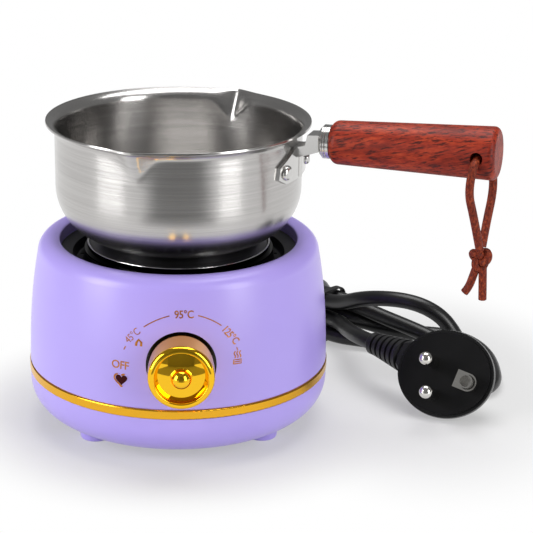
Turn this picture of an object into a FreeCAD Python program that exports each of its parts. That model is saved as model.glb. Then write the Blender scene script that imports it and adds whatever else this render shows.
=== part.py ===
import FreeCAD, Part
import Sketcher
import math
import os
import re

# Candle wax melter: a small round electric stove with a stainless pouring pot lifted on and off its plate.
# Millimetres. +Z is up, the stove's axis is the Z axis, the knob faces -Y and the floor is z = 0.

SIZES = {
    # housing
    "shell_radius": 61.8,
    "waist_inset": 0.8,
    "waist_drop": 26.6,
    "shoulder_inset": 5.4,
    "shell_height": 80.6,
    "shoulder_round": 6.0,
    "shell_wall": 2.2,
    "shadow_gap": 0.6,
    "opening_inset": 13.1,
    "opening_edge_drop": 3.1,
    "lip_drop": 8.1,
    "band_base": 22.1,
    "band_height": 3.9,
    "band_proud": 0.3,
    "band_land": 3.2,
    "cover_bottom": 4.5,
    "cover_corner": 14.0,
    "cover_floor": 2.4,
    # feet and screws
    "foot_radius": 6.8,
    "foot_inset": 18.1,
    "foot_edge": 0.8,
    "post_inset": 8.6,
    "post_radius": 4.6,
    "boss_radius": 3.8,
    "boss_height": 20.0,
    "screw_seat": 18.0,
    "screw_shank": 1.45,
    "screw_head": 2.8,
    "screw_length": 16.0,
    "thread_clearance": 0.05,
    # vents
    "vent_inner": 11.0,
    "vent_outer": 21.0,
    "vent_width": 2.4,
    # plate group
    "plate_inset": 25.2,
    "plate_bevel": 5.1,
    "plate_drop": 2.1,
    "plate_bevel_height": 2.9,
    "plate_thickness": 8.5,
    "ring_wall": 0.9,
    "ring_drop": 2.3,
    "ring_seat_drop": 5.7,
    "ring_flange": 1.2,
    "tray_sheet": 1.0,
    "tray_slope_inset": 5.1,
    "tray_well_inset": 6.3,
    "tray_well_depth": 5.1,
    "tray_slot_width": 1.2,
    "element_inset": 12.6,
    "element_radius": 3.2,
    "shield_drop": 12.5,
    "shield_sheet": 0.8,
    "stud_radius": 2.5,
    "nut_width": 8.0,
    "nut_height": 4.0,
    "fuse_radius": 2.2,
    "fuse_length": 14.0,
    # knob and thermostat
    "knob_height": 44.4,
    "knob_offset": 0.9,
    "knob_radius": 12.9,
    "knob_length": 15.9,
    "knob_gap": 0.3,
    "knob_ball": 4.0,
    "recess_radius": 13.75,
    "recess_inset": 4.6,
    "escutcheon_sheet": 1.0,
    "shaft_radius": 3.0,
    "shaft_clearance": 0.06,
    "bracket_sheet": 1.2,
    "thermostat_screw_span": 16.5,
    "thermostat_width": 22.0,
    "thermostat_tall": 18.0,
    "thermostat_depth": 13.8,
    # lamp window
    "lens_height": 37.0,
    "lens_angle": -111.3,
    "lens_width": 5.0,
    "lamp_radius": 2.6,
    # lead entry
    "lead_radius": 3.5,
    "entry_height": 15.5,
    "entry_boss": 6.55,
    "gland_length": 18.2,
    "gland_neck": 5.1,
    "gland_flange": 6.2,
    "terminal_inset": 32.8,
    "terminal_length": 26.0,
    "terminal_depth": 14.0,
    "terminal_height": 11.0,
    "clamp_inset": 16.8,
    "clamp_span": 16.0,
    # pot
    "pot_radius": 50.0,
    "pot_height": 48.8,
    "pot_wall": 0.9,
    "pot_corner": 22.0,
    "pot_flare": 3.7,
    "pot_rim_round": 3.4,
    "spout_drop": 11.9,
    "spout_throw": 5.9,
    "spout_half_angle": 17.0,
    # handle
    "handle_angle": -21.0,
    "handle_tilt": 1.67,
    "handle_drop": 5.3,
    "neck_reach": 10.0,
    "ferrule_gap": 0.3,
    "ferrule_length": 4.2,
    "ferrule_radius": 6.75,
    "grip_length": 66.5,
    "grip_radius": 8.6,
    "grip_end_radius": 10.5,
    "tang_radius": 2.5,
    "tang_depth": 36.0,
    "rivet_radius": 2.0,
    "rivet_head": 3.0,
    "rivet_angle": 14.2,
    "rivet_drop": 14.3,
    "bracket_plate": 1.4,
    "lanyard_hole": 2.5,
    "lanyard_inset": 6.8,
    "lanyard_radius": 1.65,
    "lanyard_drop": 43.5,
    # plug
    "plug_half_width": 20.6,
    "plug_half_height": 18.6,
    "plug_depth": 12.5,
    "pin_radius": 2.8,
    "pin_length": 19.0,
    "pin_spacing": 13.8,
    "relief_radius": 7.3,
    # tie round the hank
    "strand_pitch": 7.62,
    "tie_width": 3.2,
    "tie_band": 0.9,
    "tie_play": 0.25,
    "tie_side_play": 0.45,
    "tie_top_play": 0.6,
}

# Heights and radii that follow the driving sizes.
TIED = {
    "waist_radius": "shell_radius - waist_inset",
    "waist_height": "shell_height - waist_drop",
    "shoulder_radius": "shell_radius - shoulder_inset",
    "opening_radius": "shell_radius - opening_inset",
    "opening_edge_height": "shell_height - opening_edge_drop",
    "lip_height": "shell_height - lip_drop",
    "split_height": "band_base + band_height",
    "foot_circle": "shell_radius - foot_inset",
    "post_circle": "shell_radius - post_inset",
    "plate_radius": "shell_radius - plate_inset",
    "plate_flat_radius": "plate_radius - plate_bevel",
    "plate_top": "shell_height - plate_drop",
    "plate_edge_height": "plate_top - plate_bevel_height",
    "plate_under": "plate_top - plate_thickness",
    "ring_top": "plate_top - ring_drop",
    "ring_ledge": "plate_top - ring_seat_drop",
    "tray_slope_radius": "opening_radius - tray_slope_inset",
    "tray_well_radius": "opening_radius - tray_well_inset",
    "element_circle": "plate_radius - element_inset",
    "shield_bottom": "lip_height - shield_drop",
    "recess_floor": "shell_radius - recess_inset",
    "gland_tip": "shell_radius + gland_length",
    "gland_seat": "shell_radius - 7.3",
    "gland_face": "shell_radius + 0.3",
    "terminal_y": "shell_radius - terminal_inset",
    "clamp_y": "shell_radius - clamp_inset",
    "pot_rim_height": "plate_top + pot_height",
    "pot_rim_radius": "pot_radius + pot_flare",
    "spout_base_height": "pot_rim_height - spout_drop",
    "spout_reach": "pot_radius + spout_throw",
    "handle_axis_height": "pot_rim_height - handle_drop",
    "neck_end": "pot_radius + neck_reach",
    "ferrule_start": "neck_end + ferrule_gap",
    "rivet_height": "pot_rim_height - rivet_drop",
}

SCREW_ANGLES = (20.0, 160.0, 200.0, 340.0)
FOOT_ANGLES = (39.0, 141.0, 219.0, 321.0)
VENTS = 12
TRAY_SLOTS = 36
SPOUT_ANGLES = (-88.0, 84.0)

X_AXIS = FreeCAD.Vector(1, 0, 0)
Y_AXIS = FreeCAD.Vector(0, 1, 0)
Z_AXIS = FreeCAD.Vector(0, 0, 1)
ORIGIN = FreeCAD.Vector(0, 0, 0)

doc = FreeCAD.newDocument("WaxMelter")
sheet = doc.addObject("Spreadsheet::Sheet", "Sizes")
nodes = []


def fill_sheet():
    for row, (name, value) in enumerate(SIZES.items(), 1):
        sheet.set(f"A{row}", name)
        sheet.set(f"B{row}", str(value))
        sheet.setAlias(f"B{row}", name)
    doc.recompute()


def bound(text):
    """An expression on the sheet's names, written the way the document reads it."""
    return re.sub(r"[a-z_]+", read_name, text)


def read_name(word):
    name = word.group()
    if name in TIED:
        return "(" + bound(TIED[name]) + ")"
    return "Sizes." + name if name in SIZES else name


def num(text):
    """The value of a number or of an expression on the sheet's names."""
    if isinstance(text, (int, float)):
        return float(text)
    return float(sheet.evalExpression(bound(text)))


def polar(radius, degrees, height=0.0):
    turn = math.radians(degrees)
    return FreeCAD.Vector(radius * math.cos(turn), radius * math.sin(turn), height)


def turn_to(axis):
    return FreeCAD.Rotation(Z_AXIS, axis)


def rounded_corner(before, corner, after, radius):
    """Where an arc of this radius leaves and meets the two sides of a corner, and its centre."""
    to_before = (before - corner).normalize()
    to_after = (after - corner).normalize()
    half = math.acos(max(-1.0, min(1.0, to_before.dot(to_after)))) / 2
    reach = radius / math.tan(half)
    middle = (to_before + to_after).normalize()
    return corner + to_before * reach, corner + to_after * reach, corner + middle * (radius / math.sin(half))


def profile_sketch(body, corners):
    """A closed outline in the body's XZ plane. A corner is (x, z) or (x, z, rounding), as expressions."""
    sketch = body.newObject("Sketcher::SketchObject", body.Name + "_profile")
    plane = [f for f in body.Origin.OriginFeatures if f.Role == "XZ_Plane"][0]
    sketch.AttachmentSupport = [(plane, "")]
    sketch.MapMode = "FlatFace"
    count = len(corners)
    spots = [FreeCAD.Vector(num(c[0]), num(c[1]), 0) for c in corners]
    starts = []
    ends = []
    centres = []
    for i, corner in enumerate(corners):
        if len(corner) == 3:
            first, last, centre = rounded_corner(spots[i - 1], spots[i], spots[(i + 1) % count], num(corner[2]))
        else:
            first, last, centre = spots[i], spots[i], None
        starts.append(first)
        ends.append(last)
        centres.append(centre)
    sides = []
    for i in range(count):
        sides.append(sketch.addGeometry(Part.LineSegment(ends[i], starts[(i + 1) % count]), False))
    for i, corner in enumerate(corners):
        side_in = sides[i - 1]
        side_out = sides[i]
        if centres[i] is None:
            sketch.addConstraint(Sketcher.Constraint("Coincident", side_in, 2, side_out, 1))
            pin_point(sketch, side_out, 1, corner, spots[i])
            continue
        arc, tail_end, head_end = add_arc(sketch, centres[i], starts[i], ends[i])
        sketch.addConstraint(Sketcher.Constraint("Tangent", side_in, 2, arc, tail_end))
        sketch.addConstraint(Sketcher.Constraint("Tangent", arc, head_end, side_out, 1))
        radius = sketch.addConstraint(Sketcher.Constraint("Radius", arc, num(corner[2])))
        sketch.setExpression(f"Constraints[{radius}]", bound(str(corner[2])))
        spot = sketch.addGeometry(Part.Point(spots[i]), True)
        sketch.addConstraint(Sketcher.Constraint("PointOnObject", spot, 1, side_in))
        sketch.addConstraint(Sketcher.Constraint("PointOnObject", spot, 1, side_out))
        pin_point(sketch, spot, 1, corner, spots[i])
    return sketch


def add_arc(sketch, centre, start, end):
    """The short arc from start to end; gives its number and which of its ends is which."""
    first = math.atan2(start.y - centre.y, start.x - centre.x)
    last = math.atan2(end.y - centre.y, end.x - centre.x)
    sweep = (last - first) % (2 * math.pi)
    circle = Part.Circle(centre, Z_AXIS, (start - centre).Length)
    if sweep <= math.pi:
        return sketch.addGeometry(Part.ArcOfCircle(circle, first, first + sweep), False), 1, 2
    return sketch.addGeometry(Part.ArcOfCircle(circle, last, last + 2 * math.pi - sweep), False), 2, 1


def pin_point(sketch, geometry, end, corner, spot):
    for kind, axis, text, value in (("DistanceX", -2, corner[0], spot.x), ("DistanceY", -1, corner[1], spot.y)):
        if abs(value) < 1e-9:
            sketch.addConstraint(Sketcher.Constraint("PointOnObject", geometry, end, axis))
            continue
        number = sketch.addConstraint(Sketcher.Constraint(kind, -1, 1, geometry, end, value))
        sketch.setExpression(f"Constraints[{number}]", bound(str(text)))


def turned(name, corners, place=None):
    """A body turned about its Z axis from an outline of corners."""
    body = doc.addObject("PartDesign::Body", name)
    sketch = profile_sketch(body, corners)
    spin = body.newObject("PartDesign::Revolution", name + "_turn")
    spin.Profile = sketch
    spin.ReferenceAxis = (sketch, ["V_Axis"])
    spin.Angle = 360
    sketch.Visibility = False
    if place:
        body.Placement = place
    return body


def cylinder(name, radius, height, base=ORIGIN, axis=Z_AXIS):
    part = doc.addObject("Part::Cylinder", name)
    part.setExpression("Radius", bound(str(radius)))
    part.setExpression("Height", bound(str(height)))
    part.Placement = FreeCAD.Placement(base, turn_to(axis))
    return part


def box(name, length, width, height, centre, turn=0.0):
    """A box standing on its base centre, turned about Z."""
    part = doc.addObject("Part::Box", name)
    part.setExpression("Length", bound(str(length)))
    part.setExpression("Width", bound(str(width)))
    part.setExpression("Height", bound(str(height)))
    rotation = FreeCAD.Rotation(Z_AXIS, turn)
    corner = FreeCAD.Vector(-num(length) / 2, -num(width) / 2, 0)
    part.Placement = FreeCAD.Placement(centre + rotation.multVec(corner), rotation)
    return part


def feature(name, shape, place=None):
    part = doc.addObject("Part::Feature", name)
    part.Shape = shape
    if place:
        part.Placement = place
    return part


def fused(name, parts):
    union = doc.addObject("Part::MultiFuse", name)
    union.Shapes = parts
    return union


def cut(name, base, tool):
    difference = doc.addObject("Part::Cut", name)
    difference.Base = base
    difference.Tool = tool if not isinstance(tool, list) else fused(name + "_tools", tool)
    return difference


def common(name, one, other):
    overlap = doc.addObject("Part::Common", name)
    overlap.Base = one
    overlap.Tool = other
    return overlap


def group(name, parts):
    compound = doc.addObject("Part::Compound", name)
    compound.Links = parts
    return compound


def node(label, part):
    part.Label = label
    nodes.append(part)
    return part


def prism(points, height):
    """A straight prism on a polygon of points that lie in one plane."""
    wire = Part.makePolygon(points + points[:1])
    return Part.Face(wire).extrude(height)


# Housing

def shell_envelope(name):
    """The solid that the housing's outer surface encloses, used to trim what ends flush with it."""
    return turned(name, [
        (0, "split_height"),
        ("shell_radius - shadow_gap", "split_height"),
        ("shell_radius - shadow_gap", "split_height + shadow_gap"),
        ("shell_radius", "split_height + shadow_gap"),
        ("waist_radius", "waist_height", 240),
        ("shoulder_radius", "shell_height", "shoulder_round"),
        (0, "shell_height"),
    ])


def shell_blank():
    return turned("shell_blank", [
        ("shell_radius - shadow_gap", "split_height"),
        ("shell_radius - shadow_gap", "split_height + shadow_gap"),
        ("shell_radius", "split_height + shadow_gap"),
        ("waist_radius", "waist_height", 240),
        ("shoulder_radius", "shell_height", "shoulder_round"),
        ("opening_radius", "opening_edge_height", 0.8),
        ("opening_radius", "lip_height"),
        ("opening_radius + shell_wall", "lip_height"),
        ("opening_radius + shell_wall", "opening_edge_height - shell_wall"),
        ("shoulder_radius - shell_wall", "shell_height - shell_wall - 1.4", 2.3),
        ("waist_radius - shell_wall", "waist_height", 200),
        ("shell_radius - shell_wall", "split_height"),
    ])


def screw_bosses():
    split = num("split_height")
    circle = num("post_circle")
    parts = []
    for i, angle in enumerate(SCREW_ANGLES):
        parts.append(cylinder(f"boss_{i}", "boss_radius", "boss_height", polar(circle, angle, split)))
        reach = num("shell_radius - shell_wall + 0.8") - circle
        middle = polar(circle + reach / 2, angle, split)
        parts.append(box(f"boss_rib_{i}", reach, 2.4, "boss_height", middle, angle))
    return parts


def pilot_holes():
    split = num("split_height")
    circle = num("post_circle")
    depth = "screw_seat + screw_length - split_height + 2"
    holes = []
    for i, angle in enumerate(SCREW_ANGLES):
        holes.append(cylinder(f"pilot_{i}", "screw_shank + thread_clearance", depth, polar(circle, angle, split)))
    return holes


def front_point(y, x=0.0, rise=0.0):
    """A point this far in front of the knob's axis on the housing, aside and above it."""
    return FreeCAD.Vector(num("knob_offset") + x, y, num("knob_height") + rise)


def heart_points(width):
    """A heart outline on a unit grid, sized to a width, its centre at the origin."""
    count = 28
    points = []
    for i in range(count):
        t = 2 * math.pi * i / count
        x = 16 * math.sin(t) ** 3
        y = 13 * math.cos(t) - 5 * math.cos(2 * t) - 2 * math.cos(3 * t) - math.cos(4 * t) + 2.5
        points.append((x * width / 32, y * width / 32))
    return points


def lens_place():
    """The window's own frame: x across, y up, z out of the housing."""
    angle = num("lens_angle")
    out = polar(1, angle)
    across = Z_AXIS.cross(out)
    rotation = FreeCAD.Rotation(across, Z_AXIS, out, "XYZ")
    return FreeCAD.Placement(FreeCAD.Vector(0, 0, num("lens_height")), rotation)


def heart_prism(name, width, start, length):
    outline = [FreeCAD.Vector(x, y, start) for x, y in heart_points(width)]
    return feature(name, prism(outline, FreeCAD.Vector(0, 0, length)), lens_place())


def upper_shell():
    envelope = shell_envelope("shell_envelope")
    cup = cylinder("knob_cup", "recess_radius + shell_wall", 12, front_point(-num("recess_floor - shell_wall")), -Y_AXIS)
    cup_trimmed = common("knob_cup_trimmed", cup, envelope)
    span = num("thermostat_screw_span")
    pads = []
    pad_holes = []
    for i, side in enumerate((-1, 1)):
        base = front_point(-num("recess_floor - shell_wall"), side * span)
        pads.append(cylinder(f"switch_pad_{i}", 3.0, 2.3, base, -Y_AXIS))
        pad_holes.append(cylinder(f"switch_pilot_{i}", "screw_shank + thread_clearance", 2.2, base, -Y_AXIS))
    body = fused("shell_body", [shell_blank(), cup_trimmed] + pads + screw_bosses())
    recess = cylinder("knob_recess", "recess_radius", 12, front_point(-num("recess_floor")), -Y_AXIS)
    bore = cylinder("shaft_hole", "shaft_radius + 0.6", 8, front_point(-num("recess_floor") + 5), -Y_AXIS)
    window = heart_prism("window_hole", num("lens_width"), num("shell_radius") - 6, 10)
    return node("upper_shell", cut("upper_shell", body, [recess, bore, window] + pilot_holes() + pad_holes))


def trim_band():
    return node("trim_band", turned("trim_band", [
        ("shell_radius - band_land", "band_base"),
        ("shell_radius + band_proud", "band_base", 0.5),
        ("shell_radius + band_proud", "split_height", 0.5),
        ("shell_radius - band_land", "split_height"),
    ]))


def cover_envelope(name):
    return turned(name, [
        (0, "cover_bottom"),
        ("shell_radius", "cover_bottom", "cover_corner"),
        ("shell_radius", "split_height"),
        (0, "split_height"),
    ])


def cover_blank():
    return turned("cover_blank", [
        (0, "cover_bottom"),
        ("shell_radius", "cover_bottom", "cover_corner"),
        ("shell_radius", "band_base"),
        ("shell_radius - shell_wall", "band_base"),
        ("shell_radius - shell_wall", "cover_bottom + cover_floor", "cover_corner - shell_wall"),
        (0, "cover_bottom + cover_floor"),
    ])


def cover_posts():
    floor = num("cover_bottom") + 1.0
    height = "split_height - cover_bottom - 1"
    circle = num("post_circle")
    posts = [cylinder(f"post_{i}", "post_radius", height, polar(circle, a, floor)) for i, a in enumerate(SCREW_ANGLES)]
    saddle_base = FreeCAD.Vector(0, num("clamp_y"), num("cover_bottom") + 1.0)
    saddle = box("clamp_saddle", "clamp_span + 8", 7, "entry_height - cover_bottom - 1", saddle_base)
    return posts + [saddle]


def cover_holes():
    circle = num("post_circle")
    holes = []
    for i, angle in enumerate(SCREW_ANGLES):
        holes.append(cylinder(f"counterbore_{i}", "screw_head + 0.4", "screw_seat", polar(circle, angle)))
        holes.append(cylinder(f"clearance_{i}", "screw_shank + 0.3", "split_height", polar(circle, angle)))
    for i in range(VENTS):
        angle = 360.0 * i / VENTS
        middle = polar(num("vent_inner + vent_outer") / 2, angle)
        holes.append(box(f"vent_{i}", "vent_outer - vent_inner", "vent_width", 8, middle, angle))
    entry = FreeCAD.Vector(0, num("gland_seat") - 4, num("entry_height"))
    holes.append(cylinder("entry_hole", "gland_neck + 0.1", 20, entry, Y_AXIS))
    groove = FreeCAD.Vector(0, num("clamp_y") - 7, num("entry_height"))
    holes.append(cylinder("saddle_groove", "lead_radius + 0.05", 14, groove, Y_AXIS))
    for i, side in enumerate((-1, 1)):
        spot = FreeCAD.Vector(side * num("clamp_span") / 2, num("clamp_y"), num("entry_height") - 6.5)
        holes.append(cylinder(f"clamp_pilot_{i}", "screw_shank + thread_clearance", 8, spot))
    return holes


def bottom_cover():
    posts = common("posts_trimmed", fused("posts_raw", cover_posts()), cover_envelope("cover_envelope"))
    seat = FreeCAD.Vector(0, num("gland_seat"), num("entry_height"))
    boss = cylinder("entry_boss", "entry_boss", "gland_face - gland_seat", seat, Y_AXIS)
    body = fused("cover_body", [cover_blank(), posts, boss])
    return node("bottom_cover", cut("bottom_cover", body, cover_holes()))


def foot_pads():
    pads = []
    for i, angle in enumerate(FOOT_ANGLES):
        pad = turned(f"foot_{i}", [
            (0, 0),
            ("foot_radius - 0.6", 0, "foot_edge"),
            ("foot_radius", "cover_bottom + 2"),
            (0, "cover_bottom + 2"),
        ], FreeCAD.Placement(polar(num("foot_circle"), angle), FreeCAD.Rotation()))
        pads.append(pad)
    pads_group = group("feet_raw", pads)
    return node("foot_pads", cut("foot_pads", pads_group, cover_envelope("foot_seat")))


def cover_screws():
    screws = []
    for i, angle in enumerate(SCREW_ANGLES):
        place = FreeCAD.Placement(polar(num("post_circle"), angle, num("screw_seat")), FreeCAD.Rotation())
        screws.append(turned(f"cover_screw_{i}", [
            (0, -2.2),
            ("screw_head", -2.2, 0.5),
            ("screw_head", 0),
            ("screw_shank", 0),
            ("screw_shank", "screw_length - 1.2"),
            ("screw_shank - 0.9", "screw_length"),
            (0, "screw_length"),
        ], place))
    return node("cover_screws", group("cover_screws", screws))


# Plate group

def drip_tray():
    sheet_metal = "tray_sheet"
    blank = turned("tray_blank", [
        ("opening_radius + shell_wall - 0.2", "lip_height"),
        ("opening_radius - 0.5", "lip_height"),
        ("tray_slope_radius", "lip_height - 1.1"),
        ("tray_well_radius", "lip_height - tray_well_depth", 0.8),
        ("plate_radius + ring_wall + 1.7", "lip_height - tray_well_depth", 0.8),
        ("plate_radius + ring_wall + ring_flange", "ring_ledge"),
        ("plate_radius + ring_wall + 0.1", "ring_ledge"),
        ("plate_radius + ring_wall + 0.8", f"lip_height - tray_well_depth - {sheet_metal}"),
        (f"tray_well_radius + {sheet_metal} - 0.2", f"lip_height - tray_well_depth - {sheet_metal}", 1.0),
        (f"tray_slope_radius + {sheet_metal} - 0.3", f"lip_height - 1.1 - {sheet_metal}"),
        ("opening_radius - 0.4", f"lip_height - {sheet_metal}"),
        ("opening_radius + shell_wall - 0.2", f"lip_height - {sheet_metal}"),
    ])
    slots = []
    middle_radius = num("tray_well_radius + plate_radius + ring_wall + 1.7") / 2
    for i in range(TRAY_SLOTS):
        angle = 360.0 * i / TRAY_SLOTS
        spot = polar(middle_radius, angle, num("lip_height - tray_well_depth") - 3)
        slots.append(box(f"tray_slot_{i}", 1.6, "tray_slot_width", 5, spot, angle))
    return node("drip_tray", cut("drip_tray", blank, slots))


def plate_trim_ring():
    return node("plate_trim_ring", turned("plate_trim_ring", [
        ("plate_radius - 2", "ring_ledge - 0.8"),
        ("plate_radius + ring_wall", "ring_ledge - 0.8"),
        ("plate_radius + ring_wall", "ring_ledge"),
        ("plate_radius + ring_wall + ring_flange", "ring_ledge"),
        ("plate_radius + ring_wall + ring_flange", "ring_ledge + 0.6"),
        ("plate_radius + ring_wall + 0.1", "ring_ledge + 0.6"),
        ("plate_radius + ring_wall + 0.1", "ring_top", 0.35),
        ("plate_radius + 0.15", "ring_top", 0.35),
        ("plate_radius + 0.15", "ring_ledge"),
        ("plate_radius - 2", "ring_ledge"),
    ]))


def heating_plate():
    blank = turned("plate_blank", [
        (0, "plate_under"),
        ("plate_radius - 2.2", "plate_under"),
        ("plate_radius - 2.2", "ring_ledge"),
        ("plate_radius", "ring_ledge"),
        ("plate_radius", "plate_edge_height", 0.6),
        ("plate_flat_radius", "plate_top", 1.5),
        (0, "plate_top"),
    ])
    groove = doc.addObject("Part::Torus", "element_groove")
    groove.setExpression("Radius1", bound("element_circle"))
    groove.setExpression("Radius2", bound("element_radius + 0.1"))
    groove.Placement.Base = FreeCAD.Vector(0, 0, num("plate_under - element_radius / 2"))
    tapped = cylinder("stud_hole", "stud_radius + thread_clearance", 5.2, FreeCAD.Vector(0, 0, num("plate_under") - 0.2))
    return node("heating_plate", cut("heating_plate", blank, [groove, tapped]))


def heating_element():
    arc = 330.0
    ring = doc.addObject("Part::Torus", "element_ring")
    ring.setExpression("Radius1", bound("element_circle"))
    ring.setExpression("Radius2", bound("element_radius"))
    ring.Angle3 = arc
    level = num("plate_under - element_radius / 2")
    start = 90.0 + (360.0 - arc) / 2
    ring.Placement = FreeCAD.Placement(FreeCAD.Vector(0, 0, level), FreeCAD.Rotation(Z_AXIS, start))
    parts = [ring]
    for i, angle in enumerate((start, start + arc)):
        drop = num("shield_bottom") - 4.0
        parts.append(cylinder(f"element_leg_{i}", "element_radius - 0.4", level - drop,
                              polar(num("element_circle"), angle, drop)))
    return node("heating_element", fused("heating_element", parts))


def heat_shield():
    rim = "lip_height - tray_well_depth - tray_sheet"
    blank = turned("shield_blank", [
        ("stud_radius + 0.2", "shield_bottom"),
        ("tray_well_radius - 4", "shield_bottom", 2.2),
        ("tray_well_radius - 0.6", rim),
        ("tray_well_radius - 1.6", rim),
        ("tray_well_radius - 4.6", "shield_bottom + shield_sheet", 1.4),
        ("stud_radius + 0.2", "shield_bottom + shield_sheet"),
    ])
    holes = []
    for i, angle in enumerate((105.0, 75.0)):
        spot = polar(num("element_circle"), angle, num("shield_bottom") - 1)
        holes.append(cylinder(f"leg_hole_{i}", "element_radius + 0.1", 4, spot))
    return node("heat_shield", cut("heat_shield", blank, holes))


def plate_stud():
    base = FreeCAD.Vector(0, 0, num("shield_bottom - nut_height") - 2)
    length = "plate_under - shield_bottom + nut_height + 2 + 4.6"
    return node("plate_stud", cylinder("plate_stud", "stud_radius", length, base))


def hexagon(width, height, base):
    across = width / math.cos(math.radians(30)) / 2
    return prism([base + polar(across, 60 * i) for i in range(6)], FreeCAD.Vector(0, 0, height))


def shield_nut():
    base = FreeCAD.Vector(0, 0, num("shield_bottom - nut_height"))
    body = feature("nut_blank", hexagon(num("nut_width"), num("nut_height"), base))
    bore = cylinder("nut_bore", "stud_radius + thread_clearance", "nut_height + 2", base - Z_AXIS)
    return node("shield_nut", cut("shield_nut", body, bore))


def fuse_axis():
    return FreeCAD.Vector(-num("fuse_length") / 2, -20.0, num("shield_bottom - fuse_radius") - 0.1)


def thermal_fuse():
    return node("thermal_fuse", cylinder("thermal_fuse", "fuse_radius", "fuse_length", fuse_axis(), X_AXIS))


def fuse_clip():
    radius = num("fuse_radius")
    base = FreeCAD.Vector(0, -20.0, num("shield_bottom - fuse_radius * 2") - 1.2)
    saddle = box("clip_block", 6, 2 * radius + 3, 2 * radius + 1.2, base)
    channel = cylinder("clip_channel", "fuse_radius + 0.1", 8, fuse_axis() + X_AXIS * (num("fuse_length") / 2 - 4), X_AXIS)
    mouth = box("clip_mouth", 8, 2 * radius + 0.2, radius + 0.2, base + Z_AXIS * (radius + 1.1))
    return node("fuse_clip", cut("fuse_clip", saddle, [channel, mouth]))


# Knob and thermostat

def knob_place():
    """The knob's own frame: its axis points out of the housing's front."""
    back = num("recess_floor + escutcheon_sheet + knob_gap")
    rotation = FreeCAD.Rotation(X_AXIS, Z_AXIS, -Y_AXIS, "XYZ")
    return FreeCAD.Placement(front_point(-back), rotation)


def knob_escutcheon():
    rotation = FreeCAD.Rotation(X_AXIS, Z_AXIS, -Y_AXIS, "XYZ")
    place = FreeCAD.Placement(front_point(-num("recess_floor")), rotation)
    return node("knob_escutcheon", turned("knob_escutcheon", [
        ("shaft_radius + 1.2", 0),
        ("recess_radius - 0.05", 0),
        ("recess_radius - 0.05", 2.3),
        ("recess_radius - 0.4", 2.3),
        ("recess_radius - 0.4", "escutcheon_sheet"),
        ("shaft_radius + 1.2", "escutcheon_sheet"),
    ], place))


def knob_skirt():
    return node("knob_skirt", turned("knob_skirt", [
        ("shaft_radius + thread_clearance", 0.4),
        ("shaft_radius + 2.2", 0.4),
        ("shaft_radius + 2.2", "knob_length - 4.5"),
        ("knob_radius - 1.5", "knob_length - 4.5", 1),
        ("knob_radius - 1.5", 0),
        ("knob_radius", 0),
        ("knob_radius", "knob_length", 2.0),
        ("knob_radius - 2.5", "knob_length", 0.4),
        ("knob_radius - 2.5", "knob_length - 2.5"),
        ("shaft_radius + thread_clearance", "knob_length - 2.5"),
    ], knob_place()))


def knob_cap():
    seat = "knob_length - 2.5"
    dish = turned("cap_dish", [
        (0, seat),
        ("knob_radius - 2.55", seat),
        ("knob_radius - 2.55", "knob_length - 0.5", 0.2),
        ("knob_radius - 3.3", "knob_length - 0.4", 0.2),
        ("knob_radius - 6.2", "knob_length - 1.8", 9),
        (0, "knob_length - 1.8"),
    ], knob_place())
    ball = doc.addObject("Part::Sphere", "cap_ball")
    ball.setExpression("Radius", bound("knob_ball"))
    ball.Placement = knob_place().multiply(FreeCAD.Placement(Z_AXIS * num("knob_length - 0.6"), FreeCAD.Rotation()))
    keep = cylinder("cap_keep", "knob_ball + 1", 12)
    keep.Placement = knob_place().multiply(FreeCAD.Placement(Z_AXIS * num(seat), FreeCAD.Rotation()))
    return node("knob_cap", fused("knob_cap", [dish, common("cap_ball_front", ball, keep)]))


def thermostat_shaft():
    inner = num("recess_floor - shell_wall - bracket_sheet") - 7.0
    outer = num("recess_floor + escutcheon_sheet + knob_gap + knob_length - 2.8")
    rod = cylinder("shaft_rod", "shaft_radius", outer - inner, front_point(-inner), -Y_AXIS)
    flat_start = outer - 9.0
    flat = box("shaft_flat", 8, 12, 4, front_point(-flat_start - 6, 0, num("shaft_radius") - 1.0))
    return node("thermostat_shaft", cut("thermostat_shaft", rod, flat))


def thermostat_bracket():
    front = num("recess_floor - shell_wall")
    width = "thermostat_screw_span * 2 + 5.2"
    centre = front_point(-front + num("bracket_sheet") / 2, 0, -3.6)
    plate = box("bracket_sheet", width, "bracket_sheet", 8.4, centre)
    holes = [cylinder("bracket_bore", "shaft_radius + 0.3", 6, front_point(-front + 4), -Y_AXIS)]
    for i, side in enumerate((-1, 1)):
        spot = front_point(-front + 4, side * num("thermostat_screw_span"))
        holes.append(cylinder(f"bracket_hole_{i}", "screw_shank + 0.25", 6, spot, -Y_AXIS))
    return node("thermostat_bracket", cut("thermostat_bracket", plate, holes))


def thermostat_screws():
    head_face = num("recess_floor - shell_wall - bracket_sheet")
    screws = []
    for i, side in enumerate((-1, 1)):
        rotation = FreeCAD.Rotation(X_AXIS, Z_AXIS, -Y_AXIS, "XYZ")
        place = FreeCAD.Placement(front_point(-head_face, side * num("thermostat_screw_span")), rotation)
        screws.append(turned(f"switch_screw_{i}", [
            (0, -1.8),
            ("screw_head", -1.8, 0.5),
            ("screw_head", 0),
            ("screw_shank", 0),
            ("screw_shank", "bracket_sheet + 2"),
            (0, "bracket_sheet + 2"),
        ], place))
    return node("thermostat_screws", group("thermostat_screws", screws))


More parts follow.
